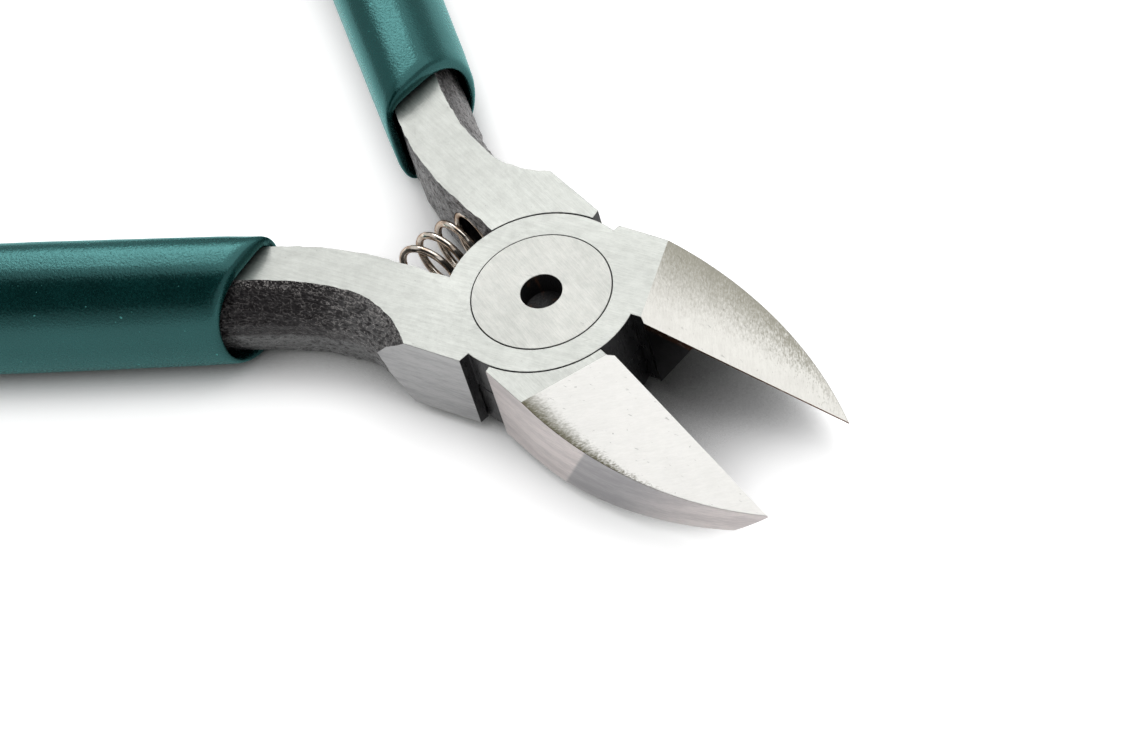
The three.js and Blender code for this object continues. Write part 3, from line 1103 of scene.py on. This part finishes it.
    def blank(self) -> bmesh.types.BMesh:
        """Copies the solid, with its flat faces whole.

        Returns:
            The mesh, with each face's zone in its material index.
        """
        bm = bmesh.new()
        bm.from_mesh(frame["nodes"][self.node].data)
        bmesh.ops.remove_doubles(bm, verts=bm.verts, dist=self.weld * MM)
        flat = math.radians(self.flat_angle)
        bmesh.ops.dissolve_limit(bm, angle_limit=flat, verts=bm.verts, edges=bm.edges)
        for vert in bm.verts:
            self.fit(vert)
        for face in bm.faces:
            centre = self.half.to_half(face.calc_center_median()) / MM
            face.material_index = self.zone(centre, self.half.to_half(face.normal)).value
        return bm

    def soften(self, bm: bmesh.types.BMesh) -> None:
        """Rounds the ground edges a little.

        Args:
            bm: the half's mesh.
        """
        rough = {Zone.SCALE.value, Zone.EDGE.value}
        hard = []
        for edge in bm.edges:
            if len(edge.link_faces) == 2 and edge.calc_face_angle(0.0) > math.radians(self.hard_angle):
                if not any(face.material_index in rough for face in edge.link_faces):
                    hard.append(edge)
        bmesh.ops.bevel(
            bm,
            geom=hard,
            offset=self.edge_round * MM,
            offset_type="OFFSET",
            segments=2,
            profile=0.5,
            affect="EDGES",
            clamp_overlap=False,
            material=-1,
        )

    def roughen(self, bm: bmesh.types.BMesh) -> None:
        """Splits the forged flanks finely and moves their points in and out, so that they are uneven.

        Args:
            bm: the half's mesh.
        """
        bmesh.ops.triangulate(bm, faces=bm.faces)
        for _ in range(self.splits):
            long_edges = [
                edge
                for edge in bm.edges
                if any(face.material_index == Zone.SCALE.value for face in edge.link_faces)
                and edge.calc_length() > self.longest * MM
                and self.half.to_half(edge.verts[0].co).x > -self.scale_end * MM
            ]
            if not long_edges:
                break
            bmesh.ops.subdivide_edges(bm, edges=long_edges, cuts=1)
            bmesh.ops.triangulate(bm, faces=[face for face in bm.faces if len(face.verts) > 3])
        bm.normal_update()
        moves = {vert: self.pitting(vert) for vert in bm.verts}
        for vert, move in moves.items():
            vert.co += move

    def pitting(self, vert: bmesh.types.BMVert) -> Vector:
        """Works out how far the forging is uneven at a point.

        Args:
            vert: the point.

        Returns:
            The move, which leaves the ground faces flat.
        """
        flanks = [face for face in vert.link_faces if face.material_index == Zone.SCALE.value]
        place = self.half.to_half(vert.co) / MM
        if not flanks or place.x < -self.scale_end:
            return Vector()
        outwards = sum((face.normal for face in flanks), Vector()).normalized()
        move = outwards * (unevenness(place, self.pit_layers) * self.pit_depth * MM)
        for face in vert.link_faces:
            if face.material_index != Zone.SCALE.value:
                move -= face.normal * face.normal.dot(move)
        return move

    def shade(self, bm: bmesh.types.BMesh) -> None:
        """Shades the arcs and the forged flanks smoothly and keeps the flat faces flat.

        Args:
            bm: the half's mesh.
        """
        for face in bm.faces:
            face.smooth = True
        for edge in bm.edges:
            forged = [face.material_index == Zone.SCALE.value for face in edge.link_faces]
            bent = edge.calc_face_angle(0.0) > math.radians(self.sharp_angle)
            edge.smooth = all(forged) or not (bent or any(forged))

    def finishes(self) -> list[bpy.types.Material]:
        """Makes the materials.

        Returns:
            The materials, in the order of the zones.
        """
        name = self.half.body.value
        centre, radius = self.arc()
        bevel = BevelSteel(
            f"{name}_slanted_face",
            self.half,
            self.bevel_lines,
            *self.bevel_colours,
            arc_centre=centre,
            arc_radius=radius,
            fade=self.bevel_fade,
            fade_end=self.bevel_end,
            tone=self.bevel_tone,
        )
        return [
            GroundSteel(f"{name}_ground_face", self.half, self.face_lines).make(),
            bevel.make(),
            SideSteel(f"{name}_ground_side", self.half, *self.side_colours).make(),
            ForgedScale(f"{name}_forging_scale", self.half, *self.scale_colours, self.scale_fall).make(),
            BlackenedSteel(f"{name}_blackened").make(),
            EdgeSteel(f"{name}_edge_land", self.half).make(),
        ]

    def build(self) -> bpy.types.Object:
        """Makes the half in place of its solid.

        Returns:
            The piece.
        """
        bm = self.blank()
        self.soften(bm)
        self.roughen(bm)
        self.shade(bm)
        piece = mesh_piece(self.piece_name, bm, self.finishes())
        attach(piece, self.half.body.value)
        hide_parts(self.node)
        return piece


@dataclass(frozen=True)
class Rivet:
    """The flush rivet, turned, with small chamfers and a drilled centre hole.

    Attributes:
        thickness: thickness of the joint.
        head_radius: radius of both heads.
        head_depth: depth of both heads.
        shank_radius: radius between the heads.
        hole_radius: radius of the centre hole.
        hole_depth: depth of the hole's wall.
        drill_point: depth of the cone below it.
        middle: radius of the small flats in the middle of the underside and of the hole.
        chamfer: width of the chamfers.
        off: how far it sits off the axis in its seat, towards -X and +Y.
        lines: degrees of the grinding lines on its heads.
        pale: colour of the bright lines.
        rough: least and greatest roughness of its heads.
        glint: colour of the painted brown reflection, in patches on its black faces and in its hole.
        hole_margin: how far past the hole's radius a face still lies in the hole.
        upright: upward part of the normal below which a face is a wall.
        sharp_angle: degrees from which an edge is shaded sharply.
        steps: sides of the turned surface.
    """

    thickness: float = 8.0
    head_radius: float = 5.54
    head_depth: float = 2.2
    shank_radius: float = 3.2
    hole_radius: float = 1.65
    hole_depth: float = 2.1
    drill_point: float = 0.5
    middle: float = 0.02
    chamfer: float = 0.03
    off: float = 0.02
    lines: float = -18.0
    pale: Colour = (0.57, 0.57, 0.54, 1.0)
    rough: Range = (0.38, 0.52)
    glint: Colour = (0.10, 0.05, 0.03, 1.0)
    hole_margin: float = 0.01
    upright: float = 0.5
    sharp_angle: float = 30.0
    steps: int = 160

    def profile(self) -> list[Range]:
        """Lists the turned outline from the underside's middle to the bottom of the hole.

        Returns:
            The radius and height of each point.
        """
        top, cut, head = self.thickness, self.chamfer, self.head_radius
        return [
            (self.middle, 0.0),
            (head - cut, 0.0),
            (head, cut),
            (head, self.head_depth),
            (self.shank_radius, self.head_depth),
            (self.shank_radius, top - self.head_depth),
            (head, top - self.head_depth),
            (head, top - cut),
            (head - cut, top),
            (self.hole_radius + cut, top),
            (self.hole_radius, top - cut),
            (self.hole_radius, top - self.hole_depth),
            (self.middle, top - self.hole_depth - self.drill_point),
        ]

    def blackened(self, face: bmesh.types.BMFace) -> bool:
        """Tells whether a face is a wall or lies in the hole, which are left black.

        Args:
            face: the face.

        Returns:
            Whether it is.
        """
        x, y, height = face.calc_center_median() / MM
        in_hole = math.hypot(x, y) < self.hole_radius + self.hole_margin and height > self.head_depth
        return in_hole or abs(face.normal.z) < self.upright

    def build(self) -> bpy.types.Object:
        """Makes the rivet in place of its solid.

        Returns:
            The piece.
        """
        spokes = [Vector((math.cos(a), math.sin(a), 0.0)) for a in round_angles(self.steps)]
        rings = []
        for radius, height in self.profile():
            middle = Vector((-self.off, self.off, height))
            rings.append([(middle + radius * spoke) * MM for spoke in spokes])
        bm = skin(rings)
        for face in bm.faces:
            face.material_index = int(self.blackened(face))
        steel = GroundSteel("rivet_ground_face", None, self.lines, pale=self.pale, rough=self.rough)
        # Painted reflection: a brown glint in patches on the black faces, for the reflection seen in the
        # hole.
        black = BlackenedSteel("rivet_blackened", glint=self.glint)
        piece = mesh_piece("rivet_body", bm, [steel.make(), black.make()])
        piece.data.set_sharp_from_angle(angle=math.radians(self.sharp_angle))
        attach(piece, Body.TOP.value)
        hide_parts("pivot_rivet")
        return piece


@dataclass(frozen=True)
class ReturnSpring:
    """The coil spring between the necks, wound round an arc about the pivot.

    Attributes:
        middle: height of the coil's middle.
        arc_radius: pivot axis to the middle of the coil.
        diameter: outer diameter of the coil.
        wire: diameter of the wire.
        turns: number of turns.
        phase: where in a turn the wire starts, in turns.
        opened: turns from the first end by which the coil has its even pitch.
        opening: turns before that in which it comes off the pocket's floor.
        swing: how far the coil lies out of its arc at the ends, away from the pivot and towards it.
        tilt: how far it lies high and low there.
        reach: degrees from the tool's middle plane to each end.
        steps: steps for each turn.
        sides: sides of the wire.
        slack: share of the coil's length by which the bending runs on past each end, which is not used.
    """

    middle: float = 4.0
    arc_radius: float = 12.05
    diameter: float = 5.0
    wire: float = 0.6
    turns: float = 5.32
    phase: float = 0.123
    opened: float = 1.75
    opening: float = 1.25
    swing: float = 0.45
    tilt: float = 0.45
    reach: float = 23.3
    steps: int = 40
    sides: int = 12
    slack: float = 0.2

    def at(self, bearing: float, turned: float) -> Vector:
        """Finds a point of the wire's middle line.

        Args:
            bearing: angle about the pivot from the tool's middle plane, in radians.
            turned: angle round the coil, in radians.

        Returns:
            The point in the row's frame.
        """
        share = bearing / math.radians(self.reach)
        coil = (self.diameter - self.wire) / 2
        radius = self.arc_radius + self.swing * share + coil * math.cos(turned)
        height = self.middle + self.tilt * share + coil * math.sin(turned)
        return Vector((-radius * math.cos(bearing), -radius * math.sin(bearing), height)) * MM

    def path(self) -> list[Vector]:
        """Follows the wire's middle line, which has a straight end of one wire diameter.

        Returns:
            Its points in the row's frame.
        """
        reach = math.radians(self.reach)
        wound = reach - self.wire / self.arc_radius
        count = round(self.turns * self.steps)
        first = 2 * math.pi * self.phase
        points = [self.at(reach, first)]
        for i in range(count + 1):
            turn = self.turns * i / count
            even = wound * (1 - 2 * turn / self.turns)
            closed = eased((self.opened - turn) / self.opening)
            points.append(self.at(even + (wound - even) * closed, first + 2 * math.pi * turn))
        points.append(self.at(-reach, first + 2 * math.pi * self.turns))
        return points

    def build(self) -> bpy.types.Object:
        """Makes the spring in place of its solid, wound on its arc between the two halves.

        Returns:
            The piece.
        """
        path = self.path()
        half = self.wire / 2 * MM
        across = Vector((0.0, 0.0, 1.0))
        rings = []
        for i, point in enumerate(path):
            along = (path[min(i + 1, len(path) - 1)] - path[max(i - 1, 0)]).normalized()
            across = (across - along * across.dot(along)).normalized()
            third = along.cross(across)
            spokes = (math.cos(a) * across + math.sin(a) * third for a in round_angles(self.sides))
            rings.append([point + half * spoke for spoke in spokes])
        piece = mesh_piece("spring_coil", skin(rings), [SpringWire("spring_plating").make()])
        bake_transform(piece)
        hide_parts("return_spring")
        return piece


@dataclass(frozen=True)
class Sleeve:
    """A dipped sleeve on one handle: a soft oval tube with a rounded lip and a rounded end.

    Attributes:
        half: frame of the half that carries it.
        node: the solid that it stands for.
        piece_name: name of the piece.
        line: middle line of the handle.
        mouth: pivot axis to the plane of the open end.
        tilt: degrees that this plane leans back on its outer side.
        middle: height of the sleeve's middle.
        hole_inner: middle line to the hole's inner side.
        hole_outer: middle line to the hole's outer side.
        hole_height: half height of the hole.
        hole_middle: height of the hole's middle.
        inner_wall: wall on the inner side.
        outer_wall: wall on the outer side.
        inner_square: how square the hole and the outside are on the inner side, 2 being an ellipse.
        outer_square: the same on the outer side.
        skin_height: half height of the outside.
        swell: how much the sleeve thickens along its start.
        swell_length: length over which it does.
        pinch: how much it is drawn in at its mouth.
        pinch_length: length over which it is.
        lip: depth of the rounded lip.
        lip_steps: steps across that lip.
        nose: length of the rounded end.
        nose_steps: steps of a quarter turn along that end, whose last part stays a small flat.
        end_gap: how far the end stays short of the handle line's.
        hole_depth: depth of the hole that shows.
        hole_step: distance between the rings in the hole.
        hole_rings: number of these rings.
        body_step: distance between the rings along the outside.
        sides: points round the sleeve.
        ripple: unevenness of the dipped skin.
        ripple_layers: waves per millimetre and strength of each layer of that unevenness.
    """

    half: HalfFrame
    node: str
    piece_name: str
    line: HandleLine = HandleLine()
    mouth: float = 23.6
    tilt: float = 6.0
    middle: float = 4.35
    hole_inner: float = 3.1
    hole_outer: float = 3.55
    hole_height: float = 4.2
    hole_middle: float = 4.0
    inner_wall: float = 0.9
    outer_wall: float = 0.8
    inner_square: Range = (8.0, 3.6)
    outer_square: Range = (2.4, 2.0)
    skin_height: float = 5.5
    swell: float = 0.15
    swell_length: float = 20.0
    pinch: float = 0.08
    pinch_length: float = 4.0
    lip: float = 0.5
    lip_steps: int = 12
    nose: float = 6.0
    nose_steps: float = 12.4
    end_gap: float = 0.05
    hole_depth: float = 9.0
    hole_step: float = 1.2
    hole_rings: int = 7
    body_step: float = 0.9
    sides: int = 88
    ripple: float = 0.035
    ripple_layers: tuple[Range, ...] = ((0.3, 1.0), (0.8, 0.5))

    def mouth_distance(self) -> float:
        """Works out where the open end meets the handle's middle line.

        Returns:
            The length along that line from the pivot.
        """
        lean = math.radians(self.line.flare)
        bend_end = self.line.neck_straight + self.line.bend_radius * lean
        return bend_end + (self.mouth + self.line.at(bend_end)[0]) / math.cos(lean)

    def added(self, depth: float) -> float:
        """Gives how much thicker the wall is at a distance into the sleeve than its plain size."""
        drawn_in = self.pinch * (1 - eased(depth / self.pinch_length))
        return self.swell * eased(depth / self.swell_length) - drawn_in

    def section(self, outside: float, added: float) -> list[Range]:
        """Lists a section's points as outward and height pairs from the middle line.

        Args:
            outside: 0 for the hole and 1 for the outer skin, and between them inside the wall.
            added: how much thicker the wall is than its plain size.

        Returns:
            The points, counter-clockwise seen from the sleeve's end.
        """
        points = []
        for angle in round_angles(self.sides):
            outer_side = math.cos(angle) >= 0
            hole = self.hole_outer if outer_side else self.hole_inner
            wall = (self.outer_wall if outer_side else self.inner_wall) + added
            hole_square, skin_square = self.outer_square if outer_side else self.inner_square
            ends = []
            for width, height, square, middle in (
                (hole, self.hole_height, hole_square, self.hole_middle),
                (hole + wall, self.skin_height + added, skin_square, self.middle),
            ):
                out = math.copysign(abs(math.cos(angle)) ** (2 / square), math.cos(angle)) * width
                rise = math.copysign(abs(math.sin(angle)) ** (2 / square), math.sin(angle)) * height
                ends.append((out, rise + middle - self.middle))
            (x0, y0), (x1, y1) = ends
            points.append((x0 + (x1 - x0) * outside, y0 + (y1 - y0) * outside))
        return points

    def ring(self, depth: float, outside: float, scale: float = 1.0) -> list[Vector]:
        """Places a section on the handle.

        Args:
            depth: distance into the sleeve from its mouth.
            outside: 0 for the hole and 1 for the outer skin.
            scale: size of the section, below 1 towards the closed end.

        Returns:
            The ring's points in the row's frame.
        """
        start = self.mouth_distance() + depth
        leaning = math.radians(self.line.flare + self.tilt)
        slant = math.tan(leaning) * max(0.0, 1 - depth / (2 * self.swell_length))
        points = []
        for out, rise in self.section(outside, self.added(depth)):
            out, rise = out * scale, rise * scale
            x, y, lean = self.line.at(start + slant * out)
            x, y = x + out * math.sin(lean), y - out * math.cos(lean)
            points.append(self.half.to_row(x, y, self.middle + rise))
        return points

    def rings(self) -> list[list[Vector]]:
        """Makes the rings from the hole's floor over the lip and along the outside to the closed end.

        Returns:
            The rings, in order.
        """
        hole = [self.ring(self.hole_depth - i * self.hole_step, 0.0) for i in range(self.hole_rings)]
        lip = []
        for i in range(self.lip_steps + 1):
            across = i / self.lip_steps
            rounded = 1 - math.sqrt(max(0.0, 1 - (2 * across - 1) ** 2))
            lip.append(self.ring(self.lip * rounded, across))
        body_end = self.line.length() - self.end_gap - self.mouth_distance() - self.nose
        run = body_end - self.lip
        steps = round(run / self.body_step)
        body = [self.ring(self.lip + run * (i + 1) / steps, 1.0) for i in range(steps)]
        nose = []
        for i in range(int(self.nose_steps)):
            angle = math.pi / 2 * (i + 1) / self.nose_steps
            nose.append(self.ring(body_end + self.nose * math.sin(angle), 1.0, math.cos(angle)))
        return hole + lip + body + nose

    def build(self, vinyl: bpy.types.Material) -> bpy.types.Object:
        """Makes the sleeve in place of its solid.

        Args:
            vinyl: the finish.

        Returns:
            The piece.
        """
        bm = skin(self.rings())
        bm.normal_update()
        for vert in bm.verts:
            wave = unevenness(vert.co / MM, self.ripple_layers)
            vert.co -= vert.normal * ((1 + wave) / 2 * self.ripple * MM)
        piece = mesh_piece(self.piece_name, bm, [vinyl])
        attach(piece, self.half.body.value)
        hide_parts(self.node)
        return piece


# Studio


@dataclass(frozen=True)
class Lamp:
    """A square soft lamp that points at the joint.

    Attributes:
        name: name of the lamp.
        direction: from the joint to the lamp, in metres.
        size: length of its sides in metres.
        power: its power in watts.
        mirrored: whether it shows in the steel.
    """

    name: str
    direction: Triple
    size: float
    power: float
    mirrored: bool = True

    def build(self) -> None:
        """Adds the lamp to the scene."""
        data = bpy.data.lights.new(self.name, "AREA")
        data.size = self.size
        data.energy = self.power
        lamp = bpy.data.objects.new(self.name, data)
        lamp.location = Vector(self.direction)
        lamp.rotation_euler = Vector(self.direction).to_track_quat("Z", "Y").to_euler()
        lamp.visible_glossy = self.mirrored
        bpy.context.scene.collection.objects.link(lamp)


@dataclass(frozen=True)
class Studio:
    """The pale floor, soft lamps and camera.

    Attributes:
        azimuth: degrees round the object, 0 looking along +Y and 90 along -X.
        elevation: degrees above the horizon.
        roll: degrees that the camera is turned about its view.
        position: place of the camera in millimetres.
        focal: focal length as pixels of the photograph's width.
        sensor: width of the sensor in millimetres.
        nearest: distance in metres from which the camera sees.
        floor_size: length of the floor's sides in metres.
        floor_gap: distance from the part's underside to the floor.
        floor_colour: colour of the open floor.
        shadow_colour: colour of the painted shadow, where the part covers the floor most.
        shadow_reach: distance within which the painted shadow darkens the floor.
        shadow_ends: shares of open view that have the shadow's colour and the floor's.
        glow_ends: shares of open view between which the floor's glow comes up, so that it glows less in the
            painted shadow.
        glow: strength of that glow.
        mirrored: share of that glow that shows in the steel.
        sky: brightness of the room overhead.
        horizon: brightness of the room at the horizon.
        sky_ends: heights of a direction that have the brightness of the horizon and of the sky.
        dark_share: share of the brightness that is left in the room's dark part.
        dark_width: sideways parts of a direction at which the dark part ends and the room is bright.
        dark_back: the same for its backward part.
        dark_foot: the same for its height.
        lamps: the soft lamps.
    """

    azimuth: float = 53.86
    elevation: float = 51.18
    roll: float = -18.18
    position: Triple = (175.9, -128.7, 267.8)
    focal: float = 4400.0
    sensor: float = 36.0
    nearest: float = 0.01
    floor_size: float = 6.0
    floor_gap: float = 0.02
    floor_colour: Colour = (0.95, 0.95, 0.95, 1.0)
    shadow_colour: Colour = (0.18, 0.18, 0.18, 1.0)
    shadow_reach: float = 14.0
    shadow_ends: Range = (0.12, 0.42)
    glow_ends: Range = (0.36, 0.64)
    glow: float = 0.45
    mirrored: float = 0.45
    sky: float = 0.62
    horizon: float = 0.55
    sky_ends: Range = (-0.05, 0.5)
    dark_share: float = 0.04
    dark_width: Range = (0.35, 0.7)
    dark_back: Range = (-0.1, 0.3)
    dark_foot: Range = (0.44, 0.2)
    lamps: tuple[Lamp, ...] = (
        Lamp("key_softbox", (-0.085, 0.383, 0.757), 0.9, 2.5),
        Lamp("back_strip", (-0.53, 0.35, 0.55), 0.25, 0.9),
        Lamp("overhead_fill", (-0.05, -0.25, 1.2), 2.0, 4.5, mirrored=False),
        Lamp("front_fill", (0.0, -0.75, 0.65), 0.8, 2.4, mirrored=False),
    )

    def camera(self) -> None:
        """Makes the camera at the photograph's viewing angle."""
        data = bpy.data.cameras.new("camera")
        data.sensor_width = self.sensor
        data.lens = self.sensor * self.focal / PHOTO_WIDTH
        data.clip_start = self.nearest
        camera = bpy.data.objects.new("camera", data)
        bpy.context.scene.collection.objects.link(camera)
        around, above = math.radians(self.azimuth), math.radians(self.elevation)
        level = Vector((math.sin(around), -math.cos(around), 0.0))
        back = level * math.cos(above) + Vector((0.0, 0.0, math.sin(above)))
        upright = (-back).to_track_quat("-Z", "Y").to_matrix()
        rolled = upright @ Matrix.Rotation(math.radians(self.roll), 3, "Z")
        camera.matrix_world = Matrix.Translation(Vector(self.position) * MM) @ rolled.to_4x4()
        bpy.context.scene.camera = camera

    def floor(self) -> None:
        """Makes the pale floor just under the part, with a painted shadow where the part covers it."""
        bm = bmesh.new()
        bmesh.ops.create_grid(bm, x_segments=1, y_segments=1, size=self.floor_size / 2)
        finish = Finish("studio_floor")
        # Painted shadow: the floor is darker and glows less where the part hides more of its view.
        covered = {"Distance": self.shadow_reach * MM}
        open_view = finish.add("ShaderNodeAmbientOcclusion", covered, "AO", samples=8)
        shade = finish.mix(finish.span(open_view, self.shadow_ends), self.shadow_colour, self.floor_colour)
        finish.set(Base_Color=shade, Roughness=0.9, Specular_IOR_Level=0.1)
        path = finish.node("ShaderNodeLightPath").outputs
        mirrored = finish.math("MAXIMUM", path["Is Glossy Ray"], path["Is Transmission Ray"])
        mirrored = finish.math("MULTIPLY", mirrored, self.mirrored)
        seen = finish.math("MAXIMUM", path["Is Camera Ray"], mirrored)
        glow = finish.span(open_view, self.glow_ends, (0.0, self.glow))
        finish.set(Emission_Color=WHITE, Emission_Strength=finish.math("MULTIPLY", seen, glow))
        floor = mesh_piece("floor", bm, [finish.material])
        floor.location.z = CAD_BOX[0].z - self.floor_gap * MM

    def surroundings(self) -> None:
        """Makes a dim room with a dark part high up on the -Y side."""
        world = bpy.data.worlds.new("studio")
        world.use_nodes = True
        bpy.context.scene.world = world
        nodes = Nodes(world.node_tree)
        direction = nodes.node("ShaderNodeTexCoord").outputs["Generated"]
        x, y, height = (nodes.axis(direction, name) for name in "XYZ")
        overhead = nodes.span(height, self.sky_ends, (self.horizon, self.sky))
        left = (self.dark_share, 1.0)
        beside = nodes.span(nodes.math("ABSOLUTE", x), self.dark_width, left)
        behind = nodes.span(y, self.dark_back, left)
        below = nodes.span(height, self.dark_foot, left)
        open_part = nodes.math("MAXIMUM", nodes.math("MAXIMUM", beside, behind), below)
        background = world.node_tree.nodes["Background"].inputs
        nodes.feed(background["Strength"], nodes.math("MULTIPLY", overhead, open_part))
        nodes.feed(background["Color"], WHITE)

    def build(self) -> None:
        """Makes the camera, floor, lamps and surroundings."""
        self.camera()
        self.floor()
        for lamp in self.lamps:
            lamp.build()
        self.surroundings()
        bpy.context.scene.view_settings.view_transform = "Standard"


def main() -> None:
    """Builds the studio and the tool's pieces in order."""
    logging.basicConfig(level=logging.INFO, format="%(name)s: %(message)s")
    opened = frame["joints"][0]["range_deg"][1] / 2
    top = HalfFrame(Body.TOP, opened, 1)
    bottom = HalfFrame(Body.BOTTOM, -opened, -1)
    Studio().build()
    vinyl = DippedVinyl("dipped_vinyl_skin").make()
    # Painted light: the bottom half's slanted face and ground sides get lighter colours than the top
    # half's, for how the light falls on each half.
    pieces = [
        ForgedHalf(
            half=top,
            node="top_lap_half",
            slot="top_half_steel",
            piece_name="top_forging",
            bevel_fade=7.2,
            bevel_end=27.0,
            bevel_tone=0.68,
            pocket_shift=(-0.3, 0.45),
            bevel_colours=((0.74, 0.73, 0.69, 1.0), (0.58, 0.57, 0.535, 1.0)),
            side_colours=((0.46, 0.46, 0.46, 1.0), (0.33, 0.33, 0.335, 1.0)),
            scale_colours=(
                (0.008, 0.006, 0.007, 1.0),
                (0.10, 0.098, 0.098, 1.0),
                (0.36, 0.34, 0.33, 1.0),
                (0.14, 0.14, 0.14, 1.0),
            ),
            scale_fall=0.1,
        ).build(),
        ForgedHalf(
            half=bottom,
            node="bottom_lap_half",
            slot="bottom_half_steel",
            piece_name="bottom_forging",
            bevel_fade=2.0,
            bevel_end=21.0,
            bevel_tone=0.95,
            pocket_shift=(0.8, -0.6),
            bevel_colours=((0.96, 0.95, 0.92, 1.0), (0.83, 0.825, 0.795, 1.0)),
            side_colours=((0.72, 0.665, 0.65, 1.0), (0.54, 0.50, 0.495, 1.0)),
            scale_colours=(
                (0.06, 0.055, 0.055, 1.0),
                (0.24, 0.23, 0.23, 1.0),
                (0.5, 0.48, 0.48, 1.0),
                (0.28, 0.27, 0.27, 1.0),
            ),
            scale_fall=1.0,
        ).build(),
        Rivet().build(),
        ReturnSpring().build(),
        Sleeve(top, "right_grip", "right_sleeve").build(vinyl),
        Sleeve(bottom, "left_grip", "left_sleeve").build(vinyl),
    ]
    for piece in pieces:
        LOG.info("%s: %d faces", piece.name, len(piece.data.polygons))


if __name__ == "__main__":
    main()
